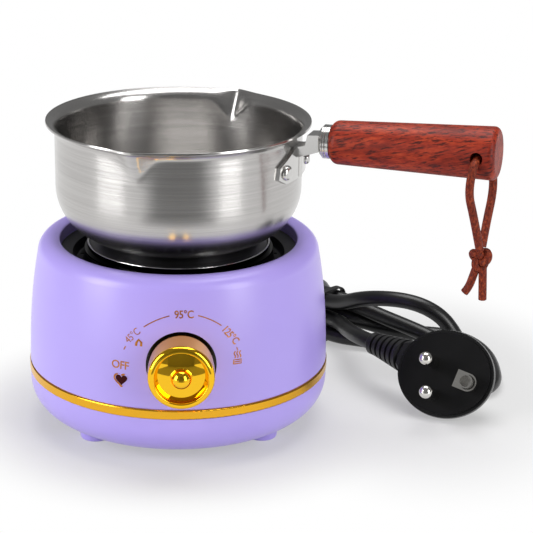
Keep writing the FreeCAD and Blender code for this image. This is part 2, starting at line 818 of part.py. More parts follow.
def thermostat_body():
    front = num("recess_floor - shell_wall - bracket_sheet")
    depth = num("thermostat_depth")
    height = num("thermostat_tall")
    base = front_point(-front + depth / 2, 0, -height / 2)
    block = box("switch_block", "thermostat_width", "thermostat_depth", "thermostat_tall", base)
    blades = []
    for i, x in enumerate((-6.5, 6.5)):
        spot = front_point(-front + depth + 3.5, x, -3)
        blades.append(box(f"switch_blade_{i}", 0.8, 8, 6.3, spot))
    bore = cylinder("switch_bore", "shaft_radius + shaft_clearance", 7.5, front_point(-front + 7.5), -Y_AXIS)
    return node("thermostat_body", cut("thermostat_body", fused("switch_body", [block] + blades), bore))


def indicator_lens():
    flange_face = math.sqrt(num("waist_radius - shell_wall") ** 2 - 4.5 ** 2) + 0.2
    heart = heart_prism("lens_heart", num("lens_width") - 0.1, flange_face - 0.4, 10)
    flush = common("lens_flush", heart, shell_envelope("lens_envelope"))
    flange = cylinder("lens_flange", 3.6, 1.0)
    flange.Placement = lens_place().multiply(FreeCAD.Placement(Z_AXIS * (flange_face - 1.0), FreeCAD.Rotation()))
    return node("indicator_lens", fused("indicator_lens", [flush, flange]))


def lamp_seat():
    return math.sqrt(num("waist_radius - shell_wall") ** 2 - 4.5 ** 2) - 0.8


def lamp_holder():
    place = lens_place().multiply(FreeCAD.Placement(Z_AXIS * (lamp_seat() - 8), FreeCAD.Rotation()))
    return node("lamp_holder", turned("lamp_holder", [
        ("lamp_radius + 0.1", 0),
        ("lamp_radius + 1.1", 0),
        ("lamp_radius + 1.1", 6.6),
        ("lamp_radius + 1.0", 8),
        ("lamp_radius + 0.1", 8),
    ], place))


def indicator_lamp():
    place = lens_place().multiply(FreeCAD.Placement(Z_AXIS * (lamp_seat() - 11), FreeCAD.Rotation()))
    return node("indicator_lamp", turned("indicator_lamp", [
        (0, 0),
        ("lamp_radius - 0.6", 0),
        ("lamp_radius", 1.5),
        ("lamp_radius", 10.6, 1.6),
        (0, 10.6),
    ], place))


# Lead entry

def terminal_block():
    base = FreeCAD.Vector(0, num("terminal_y"), num("cover_bottom + cover_floor"))
    body = box("terminal_blank", "terminal_length", "terminal_depth", "terminal_height", base)
    holes = []
    for i, x in enumerate((-8.0, 0.0, 8.0)):
        top = base + FreeCAD.Vector(x, -2.5, num("terminal_height") - 5)
        holes.append(cylinder(f"terminal_well_{i}", 2.1, 6, top))
        side = base + FreeCAD.Vector(x, -8, 4)
        holes.append(cylinder(f"terminal_hole_{i}", 1.6, 16, side, Y_AXIS))
    return node("terminal_block", cut("terminal_block", body, holes))


def terminal_screws():
    base = FreeCAD.Vector(0, num("terminal_y") - 2.5, num("cover_bottom + cover_floor + terminal_height") - 5)
    screws = [cylinder(f"terminal_screw_{i}", 2.0, 3.6, base + FreeCAD.Vector(x, 0, 0)) for i, x in enumerate((-8, 0, 8))]
    return node("terminal_screws", group("terminal_screws", screws))


def cord_clamp():
    base = FreeCAD.Vector(0, num("clamp_y"), num("entry_height"))
    bar = box("clamp_bar", "clamp_span + 7", 6, "lead_radius + 2", base)
    groove = cylinder("clamp_groove", "lead_radius + 0.05", 10, base - Y_AXIS * 5, Y_AXIS)
    holes = [groove]
    for i, side in enumerate((-1, 1)):
        spot = base + X_AXIS * (side * num("clamp_span") / 2) - Z_AXIS
        holes.append(cylinder(f"clamp_hole_{i}", "screw_shank + 0.2", 10, spot))
    return node("cord_clamp", cut("cord_clamp", bar, holes))


def clamp_screws():
    level = num("entry_height + lead_radius + 2")
    rotation = FreeCAD.Rotation(X_AXIS, -Y_AXIS, -Z_AXIS, "XYZ")
    screws = []
    for i, side in enumerate((-1, 1)):
        place = FreeCAD.Placement(FreeCAD.Vector(side * num("clamp_span") / 2, num("clamp_y"), level), rotation)
        screws.append(turned(f"clamp_screw_{i}", [
            (0, -1.8),
            ("screw_head", -1.8, 0.5),
            ("screw_head", 0),
            ("screw_shank", 0),
            ("screw_shank", 11.5),
            (0, 11.5),
        ], place))
    return node("clamp_screws", group("clamp_screws", screws))


def ribbed_outline(bore, start, end, first_radius, last_radius, ribs, ends):
    """Ribs and grooves of a bend sleeve, from its root at start to its tip at end."""
    pitch = (end - start) / ribs
    corners = [(bore, start)]
    for i in range(ribs):
        radius = first_radius + (last_radius - first_radius) * i / (ribs - 1)
        left = start + pitch * i
        corners.append((radius, left))
        corners.append((radius - 0.15, left + pitch * 0.62))
        if i < ribs - 1:
            corners.append((radius - 1.1, left + pitch * 0.7))
            corners.append((radius - 1.1, left + pitch * 0.92))
    corners[-1] = (last_radius - 0.15, end)
    corners.append((bore, end))
    return corners + ends


def lead_gland():
    bore = num("lead_radius") + 0.1
    neck = num("gland_neck")
    flange = num("gland_flange")
    inside = num("gland_seat") - 0.02
    root = num("gland_face") + 0.02
    outline = [(bore, inside - 1.8), (flange, inside - 1.8), (flange, inside), (neck, inside), (neck, root)]
    outline += [(flange, root), (flange, root + 1.8)]
    outline += ribbed_outline(bore, root + 1.8, num("gland_tip"), flange - 0.6, 4.9, 5, [])[1:]
    rotation = FreeCAD.Rotation(X_AXIS, -Z_AXIS, Y_AXIS, "XYZ")
    place = FreeCAD.Placement(FreeCAD.Vector(0, 0, num("entry_height")), rotation)
    return node("lead_gland", turned("lead_gland", outline, place))


def inner_lead():
    start = FreeCAD.Vector(0, num("terminal_y") + 8, num("entry_height"))
    return node("inner_lead", cylinder("inner_lead", "lead_radius", "gland_tip - terminal_y - 8", start, Y_AXIS))


# Pot

def pot_frame(extra=None):
    """The pot's own frame: +X runs along the handle."""
    place = FreeCAD.Placement(ORIGIN, FreeCAD.Rotation(Z_AXIS, num("handle_angle")))
    return place.multiply(extra) if extra else place


def handle_frame():
    """The handle's own frame: +Z runs out along the tilted handle, +X points down."""
    tilt = FreeCAD.Rotation(Y_AXIS, 90.0 - num("handle_tilt"))
    return pot_frame(FreeCAD.Placement(FreeCAD.Vector(0, 0, num("handle_axis_height")), tilt))


def spout_wedge(name, angle, inset, top):
    """A pointed horn, point down, that presses the wall and the rim out into a pour spout."""
    low = num("spout_base_height") + 1.8 * inset
    full = num("pot_rim_height")
    scale = (top - low) / (full - low)
    apex = FreeCAD.Vector(num("pot_radius") - 0.1 - 0.1 * inset, 0, low)
    tip = FreeCAD.Vector(num("spout_reach") - 1.12 * inset, 0, full)
    half = num("spout_half_angle")
    side = num("pot_rim_radius") - 0.15 - inset
    back = polar(num("pot_radius") - 3.4, 0.84 * half - 1.7 * inset, full)
    rim = [tip, polar(side, half, full), back, mirrored(back), polar(side, -half, full)]
    rim = [apex + (corner - apex) * scale for corner in rim]
    faces = [Part.Face(Part.makePolygon(rim + rim[:1]))]
    for i, corner in enumerate(rim):
        faces.append(Part.Face(Part.makePolygon([apex, corner, rim[(i + 1) % 5], apex])))
    solid = Part.makeSolid(Part.makeShell(faces))
    if solid.Volume < 0:
        solid.reverse()
    return feature(name, solid, FreeCAD.Placement(ORIGIN, FreeCAD.Rotation(Z_AXIS, angle)))


def mirrored(point):
    return FreeCAD.Vector(point.x, -point.y, point.z)


def pot_bowl():
    outer = turned("pot_outer", [
        (0, "plate_top"),
        ("pot_radius", "plate_top", "pot_corner"),
        ("pot_radius", "pot_rim_height - 2.4", "pot_rim_round"),
        ("pot_rim_radius", "pot_rim_height - pot_wall", 0.2),
        ("pot_rim_radius - 0.2", "pot_rim_height", 0.2),
        (0, "pot_rim_height"),
    ])
    inner = turned("pot_inner", [
        (0, "plate_top + pot_wall"),
        ("pot_radius - pot_wall", "plate_top + pot_wall", "pot_corner - pot_wall"),
        ("pot_radius - pot_wall", "pot_rim_height - 1.5", "pot_rim_round + pot_wall"),
        ("pot_rim_radius - 0.4", "pot_rim_height"),
        ("pot_rim_radius - 0.4", "pot_rim_height + 2"),
        (0, "pot_rim_height + 2"),
    ])
    solids = [outer]
    hollows = [inner]
    for i, angle in enumerate(SPOUT_ANGLES):
        solids.append(spout_wedge(f"spout_outer_{i}", angle, 0.0, num("pot_rim_height")))
        hollows.append(spout_wedge(f"spout_inner_{i}", angle, 1.0, num("pot_rim_height") + 3))
    for i, side in enumerate((-1, 1)):
        hollows.append(rivet_cylinder(f"pot_rivet_hole_{i}", side, "rivet_radius + 0.05", 6, -3))
    bowl = cut("pot_bowl", fused("pot_solid", solids), hollows)
    bowl.Placement = pot_frame()
    return node("pot_bowl", bowl)


def rivet_cylinder(name, side, radius, length, start):
    angle = side * num("rivet_angle")
    base = polar(num("pot_radius") + start, angle, num("rivet_height"))
    return cylinder(name, radius, length, base, polar(1, angle))


def handle_bracket():
    inner = num("pot_radius") + 0.08
    outer = inner + num("bracket_plate")
    rim = num("pot_rim_height")
    wall = num("pot_radius")
    low = rim - 18.9
    top = rim - 5.9
    ring = cylinder("bracket_outer", outer, top - low, FreeCAD.Vector(0, 0, low))
    hole = cylinder("bracket_inner", inner, top - low + 2, FreeCAD.Vector(0, 0, low - 1))
    right = [(5, top), (16.6, rim - 11.7), (17.4, rim - 16.3), (12.5, low)]
    outline = right + [(-y, z) for y, z in reversed(right)]
    keystone = feature("bracket_keystone", prism([FreeCAD.Vector(wall - 10, y, z) for y, z in outline], X_AXIS * 20))
    wings = common("bracket_wings", cut("bracket_ring", ring, hole), keystone)
    ridge_points = [FreeCAD.Vector(outer - 0.6, -1.6, low), FreeCAD.Vector(outer + 0.9, 0, low), FreeCAD.Vector(outer - 0.6, 1.6, low)]
    ridge = feature("bracket_ridge", prism(ridge_points, Z_AXIS * (top - low - 1)))
    neck_end = num("neck_end")
    side = [(outer - 0.7, rim - 10.1), (outer - 0.7, rim - 5.9), (wall + 4.6, rim - 5.0), (wall + 5.4, rim - 0.7),
            (neck_end, rim - 0.3), (neck_end, rim - 7.1), (wall + 5.0, rim - 8.9)]
    neck = feature("bracket_neck", prism([FreeCAD.Vector(x, -4.3, z) for x, z in side], Y_AXIS * 8.6))
    channel_start = wall + 2.6
    channel_size = neck_end - channel_start
    middle = FreeCAD.Vector(channel_start + channel_size / 2, 0, rim - 12.3)
    channel = box("neck_channel", channel_size, 5.8, 10, middle)
    holes = [rivet_cylinder(f"bracket_rivet_hole_{i}", s, "rivet_radius + 0.05", 8, -2) for i, s in enumerate((-1, 1))]
    body = cut("handle_bracket", fused("bracket_body", [wings, ridge, neck]), holes + [channel])
    body.Placement = pot_frame()
    return node("handle_bracket", body)


def bracket_rivets():
    rivets = []
    for i, side in enumerate((-1, 1)):
        angle = side * num("rivet_angle")
        radius = num("pot_radius")
        grip = num("bracket_plate") + 0.08
        place = FreeCAD.Placement(polar(radius, angle, num("rivet_height")), turn_to(polar(1, angle)))
        rivets.append(turned(f"rivet_{i}", [
            (0, "-pot_wall - 1.1"),
            ("rivet_head - 0.3", "-pot_wall - 1.1", 0.6),
            ("rivet_head - 0.3", "-pot_wall - 0.15"),
            ("rivet_radius", "-pot_wall - 0.15"),
            ("rivet_radius", grip + 0.02),
            ("rivet_head", grip + 0.02),
            ("rivet_head", grip + 1.7, 1.6),
            (0, grip + 1.7),
        ], place))
    rivet_group = group("bracket_rivets", rivets)
    rivet_group.Placement = pot_frame()
    return node("bracket_rivets", rivet_group)


def handle_ferrule():
    grooves = []
    start = num("ferrule_start")
    length = num("ferrule_length")
    radius = num("ferrule_radius")
    for share in (0.42, 0.66):
        middle = start + length * share
        grooves += [(radius, middle - 0.25), (radius - 0.3, middle), (radius, middle + 0.25)]
    outline = [("tang_radius + 0.1", start), (radius - 1.2, start), (radius, start + 1.2)] + grooves
    outline += [(radius, start + length), ("tang_radius + 0.1", start + length)]
    return node("handle_ferrule", turned("handle_ferrule", outline, handle_frame()))


def handle_tang():
    start = num("neck_end") + 0.3
    place = handle_frame()
    rod = turned("handle_tang", [
        (0, start),
        ("tang_radius", start),
        ("tang_radius", "ferrule_start + ferrule_length + tang_depth - 2"),
        ("tang_radius - 1", "ferrule_start + ferrule_length + tang_depth"),
        (0, "ferrule_start + ferrule_length + tang_depth"),
    ], place)
    return node("handle_tang", rod)


def grip_start():
    return num("ferrule_start + ferrule_length")


def hole_distance():
    """From the pot's axis, along the handle, to the lanyard hole."""
    return grip_start() + num("grip_length - lanyard_inset")


def handle_grip():
    start = grip_start()
    end = start + num("grip_length")
    depth = start + num("tang_depth") + 1.0
    blank = turned("grip_blank", [
        ("tang_radius + 0.1", start),
        ("grip_radius", start, 3.2),
        ("grip_end_radius", end, 2.4),
        (0, end),
        (0, depth),
        ("tang_radius + 0.1", depth),
    ], handle_frame())
    hole = cylinder("lanyard_hole", "lanyard_hole", 40)
    across = FreeCAD.Placement(Z_AXIS * hole_distance() - Y_AXIS * 20, turn_to(Y_AXIS))
    hole.Placement = handle_frame().multiply(across)
    return node("handle_grip", cut("handle_grip", blank, hole))


# Cords

def unit(vector):
    return FreeCAD.Vector(vector).normalize()


def soft_path(name, points):
    """Straight runs joined by tangent arcs, each arc 0.45 of its shorter run over the tangent of half the turn."""
    spots = [FreeCAD.Vector(*p) for p in points]
    edges = []
    radii = []
    here = spots[0]
    for i in range(1, len(spots) - 1):
        run_in = (spots[i] - spots[i - 1]).Length
        run_out = (spots[i + 1] - spots[i]).Length
        to_in = unit(spots[i - 1] - spots[i])
        to_out = unit(spots[i + 1] - spots[i])
        reach = 0.45 * min(run_in, run_out)
        half_turn = (math.pi - math.acos(to_in.dot(to_out))) / 2
        radius = reach / math.tan(half_turn)
        radii.append(radius)
        first = spots[i] + to_in * reach
        last = spots[i] + to_out * reach
        inward = unit(to_in + to_out)
        centre_distance = radius / math.cos(half_turn)
        middle = spots[i] + inward * (centre_distance - radius)
        edges.append(Part.LineSegment(here, first).toShape())
        edges.append(Part.Arc(first, middle, last).toShape())
        here = last
    edges.append(Part.LineSegment(here, spots[-1]).toShape())
    print(name, "radii", " ".join(f"{r:.0f}" for r in radii), "least", f"{min(radii):.1f}")
    return Part.Wire(edges)


def soft_tube(name, points, radius):
    path = soft_path(name, points)
    start = FreeCAD.Vector(*points[0])
    heading = unit(FreeCAD.Vector(*points[1]) - start)
    ring = Part.Wire(Part.Circle(start, heading, radius).toShape())
    solid = path.makePipeShell([ring], True, False)
    expected = math.pi * radius ** 2 * path.Length
    print(name, f"length {path.Length:.1f} volume share {solid.Volume / expected:.4f} lowest {solid.BoundBox.ZMin:.2f}",
          f"least gap to itself {least_gap(path, radius):.2f}")
    return feature(name, solid)


def least_gap(path, radius):
    """The smallest distance between the tube's surface and itself, past four diameters along its length."""
    count = int(path.Length / 2)
    points = path.discretize(Number=count)
    step = path.Length / (count - 1)
    skip = int(4 * 2 * radius / step)
    least = 1e9
    for i in range(count):
        for j in range(i + skip, count):
            least = min(least, (points[i] - points[j]).Length)
    return least - 2 * radius


# The hank's waist, where the tie holds it, and its direction towards the front right.
WAIST = FreeCAD.Vector(70.4, 81.15, 0.0)
WAIST_TURN = -50.0
WAIST_MIDDLE = 12.35
GLAND_TO_HANK = [
    (0.0, 80.0, 15.5),
    (0.0, 98.3, 15.6),
    (16.5, 113.9, 17.4),
    (39.2, 112.6, 19.6),
    (55.9, 92.55, 19.9),
]
HANK = [
    (55.9, 92.55, 19.9),
    (72.0, 73.35, 20.1),
    (84.0, 53.0, 31.0),
    (102.0, 41.0, 34.0),
    (115.0, 37.5, 29.0),
    (122.5, 36.0, 19.5),
    (126.5, 39.5, 9.5),
    (127.5, 50.0, 4.3),
    (122.5, 61.0, 5.0),
    (110.0, 68.0, 9.0),
    (92.5, 73.0, 14.8),
    (77.8, 78.25, 20.0),
    (63.0, 95.95, 19.9),
    (50.0, 115.5, 14.8),
    (39.5, 130.0, 8.5),
    (39.5, 143.0, 5.0),
    (48.7, 152.2, 4.2),
    (61.7, 152.2, 4.2),
    (70.6, 142.7, 5.0),
    (71.4, 120.7, 8.5),
    (63.2, 95.95, 12.2),
    (77.8, 78.25, 12.35),
    (91.5, 79.0, 7.6),
    (107.0, 77.6, 4.3),
    (121.0, 77.0, 3.9),
    (132.5, 69.5, 3.9),
    (139.0, 54.0, 3.9),
    (139.8, 36.0, 3.9),
    (138.0, 18.2, 3.9),
    (129.8, 10.0, 3.9),
    (118.2, 10.0, 3.9),
    (110.0, 18.2, 3.9),
    (109.5, 35.0, 3.9),
    (108.0, 52.0, 3.9),
    (97.5, 65.0, 4.0),
    (83.0, 69.5, 4.4),
    (72.0, 73.35, 4.7),
    (57.3, 90.95, 4.65),
    (43.5, 108.0, 4.0),
    (31.5, 122.5, 3.9),
    (17.6, 124.4, 3.9),
    (7.2, 116.6, 3.9),
    (5.0, 105.0, 3.9),
    (14.0, 92.6, 4.0),
    (31.5, 96.4, 8.4),
    (51.3, 98.0, 12.2),
    (63.6, 83.35, 12.3),
]
HANK_TO_PLUG = [
    (63.6, 83.35, 12.3),
    (72.0, 73.35, 12.4),
    (74.6, 64.5, 13.9),
    (75.5, 50.0, 16.8),
    (79.8, 32.6, 19.6),
    (85.0, 25.0, 20.0),
]


def lead_tail():
    start = (0.0, num("gland_tip"), num("entry_height"))
    return node("lead_tail", soft_tube("lead_tail", [start] + GLAND_TO_HANK[1:], num("lead_radius")))


def lead_hank():
    return node("lead_hank", soft_tube("lead_hank", HANK, num("lead_radius")))


def lead_plug_run():
    return node("lead_plug_run", soft_tube("lead_plug_run", HANK_TO_PLUG, num("lead_radius")))


def rounded_bar(width, height, length, radius):
    """A bar along Y on the XZ plane's rectangle, with rounded long edges."""
    bar = Part.makeBox(width, length, height, FreeCAD.Vector(-width / 2, -length / 2, 0))
    long_edges = [e for e in bar.Edges if abs(e.Length - length) < 1e-6 and abs(e.tangentAt(e.FirstParameter).y) > 0.9]
    return bar.makeFillet(radius, long_edges)


def hank_tie():
    """A band round the waist of the hank: two strands wide and three high."""
    reach = num("lead_radius + tie_play")
    inner_width = num("strand_pitch + 2 * (lead_radius + tie_side_play)")
    inner_height = 2 * num("strand_pitch") + 2 * reach + num("tie_top_play")
    band = num("tie_band")
    width = num("tie_width")
    low = WAIST_MIDDLE - num("strand_pitch") - reach
    outer = rounded_bar(inner_width + 2 * band, inner_height + 2 * band, width, reach + band)
    inner = rounded_bar(inner_width, inner_height, width + 2, reach - 0.2)
    inner.translate(FreeCAD.Vector(0, 0, band))
    place = FreeCAD.Placement(WAIST + Z_AXIS * (low - band), FreeCAD.Rotation(Z_AXIS, WAIST_TURN - 90.0))
    return node("hank_tie", feature("hank_tie", outer.cut(inner), place))


# Plug

PLUG_CENTRE = FreeCAD.Vector(111.7, -8.0, 19.2)
PLUG_AZIMUTH = -111.0
PLUG_RISE = 27.0
PIN_PAIR = FreeCAD.Vector(-4.5, -3.0, 0.0)
PIN_LEAN = 8.5
RELIEF_TIP = FreeCAD.Vector(*HANK_TO_PLUG[-1])


def plug_frame():
    """The plug's own frame: z out of its face, x to its right, y up its face."""
    rise = math.radians(PLUG_RISE)
    out = polar(math.cos(rise), PLUG_AZIMUTH, math.sin(rise))
    right = unit(Z_AXIS.cross(out))
    return FreeCAD.Placement(PLUG_CENTRE, FreeCAD.Rotation(right, out.cross(right), out, "XYZ"))


def ellipse_wire(half_width, half_height, level):
    curve = Part.Ellipse(FreeCAD.Vector(0, 0, level), half_width, half_height)
    return Part.Wire(curve.toShape())


def plug_solid():
    wide = num("plug_half_width")
    tall = num("plug_half_height")
    depth = num("plug_depth")
    sections = [(0.66, -depth), (0.9, -0.74 * depth), (1.0, -0.42 * depth), (1.0, -1.6)]
    wires = [ellipse_wire(wide * share, tall * share, level) for share, level in sections]
    return Part.makeLoft(wires, True, False)


def plug_body():
    return node("plug_body", feature("plug_body", plug_solid(), plug_frame()))


def plug_face():
    wide = num("plug_half_width") - 1.3
    tall = num("plug_half_height") - 1.3
    plate = Part.Face(ellipse_wire(wide, tall, -1.6)).extrude(Z_AXIS * 1.6)
    return node("plug_face", feature("plug_face", plate, plug_frame()))


def pin_spot(side):
    """Where a round pin stands on the face; the pair leans a little."""
    return PIN_PAIR + polar(side * num("pin_spacing") / 2, 90.0 + PIN_LEAN)


def plug_pins():
    pins = []
    for i, side in enumerate((-1, 1)):
        place = plug_frame().multiply(FreeCAD.Placement(pin_spot(side), FreeCAD.Rotation()))
        pins.append(turned(f"pin_{i}", [
            (0, 0),
            ("pin_radius", 0),
            ("pin_radius", "pin_length", "pin_radius - 0.3"),
            (0, "pin_length"),
        ], place))
    return node("plug_pins", group("plug_pins", pins))


def plug_earth_pin():
    """A hollow round contact inside a folded strip that is open on its right."""
    tube = Part.makeCylinder(2.85, 13).cut(Part.makeCylinder(2.35, 15, Z_AXIS * 3))
    strip_outer = Part.makeCylinder(3.8, 8).fuse(Part.makeBox(5.5, 7.6, 8, FreeCAD.Vector(-5.5, -3.8, 0)))
    strip_inner = Part.makeCylinder(3.15, 12, Z_AXIS * 2).fuse(Part.makeBox(4.6, 6.3, 5.2, FreeCAD.Vector(-4.6, -3.15, 2)))
    strip = strip_outer.cut(strip_inner)
    pin = strip.fuse(tube).removeSplitter()
    place = plug_frame().multiply(FreeCAD.Placement(FreeCAD.Vector(11.5, -3.0, 0), FreeCAD.Rotation(Z_AXIS, -14)))
    return node("plug_earth_pin", feature("plug_earth_pin", pin, place))


def plug_relief():
    """The ribbed bend sleeve: thick where it grows out of the plug, thin at the lead."""
    radius = num("lead_radius")
    heading = unit(FreeCAD.Vector(*HANK_TO_PLUG[-1]) - FreeCAD.Vector(*HANK_TO_PLUG[-2]))
    collar = 3.2
    root = radius + 0.35
    outline = [(0, 0), (radius + 1.3, 0), (radius + 1.5, 0.4), (radius + 1.5, collar - 0.3), (root, collar)]
    ribs = 5
    pitch = 3.7
    for i in range(ribs):
        rib = radius + 1.9 + (num("relief_radius") - radius - 1.9) * i / (ribs - 1)
        left = collar + 1.1 + pitch * i
        outline += [(rib - 1.7, left), (rib - 0.2, left + 0.1), (rib, left + pitch * 0.62)]
        outline += [(rib - 1.7, left + pitch * 0.7)]
    end = collar + 1.1 + pitch * ribs
    outline[5] = (root, left - pitch * (ribs - 1))
    outline += [(num("relief_radius") - 1.7, end), (num("relief_radius"), end + 0.1), (num("relief_radius") + 0.2, 26), (0, 26)]
    place = FreeCAD.Placement(RELIEF_TIP, turn_to(heading))
    sleeve = turned("relief_blank", outline, place)
    socket = feature("relief_socket", plug_solid(), plug_frame())
    front = feature("relief_front", Part.makeBox(60, 60, 8, FreeCAD.Vector(-30, -30, -1.6)), plug_frame())
    return node("plug_relief", cut("plug_relief", sleeve, [socket, front]))


# Lanyard

def lanyard_place():
    """Upright frame at the lanyard hole: x along the handle, y across it."""
    tilt = math.radians(num("handle_tilt"))
    distance = hole_distance()
    level = num("handle_axis_height") + distance * math.sin(tilt)
    return pot_frame(FreeCAD.Placement(FreeCAD.Vector(distance * math.cos(tilt), 0, level), FreeCAD.Rotation()))


LANYARD_FRONT = [
    (0.0, 0.0, -0.4),
    (0.0, -12.6, -0.4),
    (-1.2, -12.7, -7.7),
    (-1.6, -11.5, -14.5),
    (-0.4, -9.4, -21.0),
    (0.7, -6.6, -28.5),
    (1.8, -2.2, -38.5),
]
LANYARD_REAR = [
    (0.0, 0.0, -0.4),
    (0.0, 12.6, -0.4),
    (1.8, 12.7, -7.7),
    (3.1, 11.4, -14.5),
    (3.1, 9.4, -21.0),
    (2.3, 6.6, -28.5),
    (1.8, 2.2, -38.5),
]
KNOT_ASIDE = 1.8


def lanyard_strand(name, route):
    place = lanyard_place()
    spots = [place.multVec(FreeCAD.Vector(*point)) for point in route]
    return node(name, soft_tube(name, [(s.x, s.y, s.z) for s in spots], num("lanyard_radius")))


def lanyard_knot(strands):
    """The tied lump with its two cut ends; the strands run into it."""
    drop = num("lanyard_drop")
    lump = turned("knot_lump", [
        (0, 5.2),
        (3.4, 5.0, 1.2),
        (4.8, 0.5, 4),
        (3.2, -5.0, 1.6),
        (0, -5.2),
    ], lanyard_place().multiply(FreeCAD.Placement(FreeCAD.Vector(KNOT_ASIDE, 0, -drop), FreeCAD.Rotation())))
    ends = []
    for i, (x, y, length) in enumerate(((-0.28, -0.05, 10.5), (0.02, 0.08, 13.0))):
        heading = unit(FreeCAD.Vector(x, y, -1))
        root = FreeCAD.Vector(KNOT_ASIDE - 1.2 + 2.4 * i, 0, -drop - 3.4)
        spot = lanyard_place().multiply(FreeCAD.Placement(root, turn_to(heading)))
        end = cylinder(f"knot_end_{i}", "lanyard_radius", length)
        end.Placement = spot
        ends.append(end)
    return node("lanyard_knot", cut("lanyard_knot", fused("knot_whole", [lump] + ends), strands))


def build():
    for make in (upper_shell, trim_band, bottom_cover, foot_pads, cover_screws, drip_tray, plate_trim_ring,
                 heating_plate, heating_element, heat_shield, plate_stud, shield_nut, thermal_fuse, fuse_clip,
                 knob_escutcheon, knob_skirt, knob_cap, thermostat_shaft, thermostat_bracket, thermostat_screws,
                 thermostat_body, indicator_lens, lamp_holder, indicator_lamp, terminal_block, terminal_screws,
                 cord_clamp, clamp_screws, lead_gland, inner_lead, pot_bowl, handle_bracket, bracket_rivets,
                 handle_ferrule, handle_tang, handle_grip, lead_tail, lead_hank, lead_plug_run, hank_tie,
                 plug_body, plug_face, plug_pins, plug_earth_pin, plug_relief):
        make()
    front = lanyard_strand("lanyard_front", LANYARD_FRONT)
    rear = lanyard_strand("lanyard_rear", LANYARD_REAR)
    lanyard_knot([front, rear])
    doc.recompute()


def check_all():
    for part in doc.Objects:
        if "Invalid" in part.State or "Error" in part.State:
            raise RuntimeError(f"{part.Name} did not compute: {part.State}")
    for part in nodes:
        if part.Shape.isNull() or not part.Shape.isValid() or not part.Shape.Solids:
            raise RuntimeError(f"{part.Label} has no sound solid")


def write_all():
    os.makedirs("parts", exist_ok=True)
    for part in nodes:
        part.Shape.exportStep(f"parts/{part.Label}.step")
    print(len(nodes), "nodes")


fill_sheet()
build()
check_all()
write_all()
place = plug_frame()
for side in (-1, 1):
    spot = place.multVec(pin_spot(side) + Z_AXIS * (num("pin_length") / 2))
    print("pin middle", [round(c, 3) for c in spot], "axis", [round(c, 5) for c in place.Rotation.multVec(Z_AXIS)])
print("lanyard hole", [round(c, 3) for c in lanyard_place().Base], "axis", polar(1, num("handle_angle") + 90))
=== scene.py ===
import math

import bmesh
import bpy
from mathutils import Matrix, Vector
from mathutils.bvhtree import BVHTree


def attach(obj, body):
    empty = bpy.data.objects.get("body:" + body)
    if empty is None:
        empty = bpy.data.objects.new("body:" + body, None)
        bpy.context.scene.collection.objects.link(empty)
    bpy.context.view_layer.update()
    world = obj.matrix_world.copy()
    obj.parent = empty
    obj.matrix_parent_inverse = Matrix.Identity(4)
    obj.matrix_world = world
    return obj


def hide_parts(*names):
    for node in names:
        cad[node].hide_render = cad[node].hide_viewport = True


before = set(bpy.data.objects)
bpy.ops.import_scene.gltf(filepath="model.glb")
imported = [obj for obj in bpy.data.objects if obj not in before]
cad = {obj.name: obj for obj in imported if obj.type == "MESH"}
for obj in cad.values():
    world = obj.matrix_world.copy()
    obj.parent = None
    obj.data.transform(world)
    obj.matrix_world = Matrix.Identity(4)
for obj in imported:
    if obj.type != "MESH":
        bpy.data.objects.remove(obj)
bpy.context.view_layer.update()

# Camera: where it stands, how far it looks down and how far it is turned to the right.
# The picture's width, its middle, the stove's axis and the focal length are in pixels.
CAMERA_PLACE = Vector((0.0, -0.7243, 0.3151))
CAMERA_DOWN = math.radians(19.12)
PICTURE_WIDTH = 533
PICTURE_MIDDLE = 266.5
STOVE_AXIS_COLUMN = 178.9
FOCAL_LENGTH = 1850
CAMERA_RIGHT = math.atan((PICTURE_MIDDLE - STOVE_AXIS_COLUMN) / FOCAL_LENGTH)
SENSOR_WIDTH = 36
CAMERA_LENS = FOCAL_LENGTH / PICTURE_WIDTH * SENSOR_WIDTH

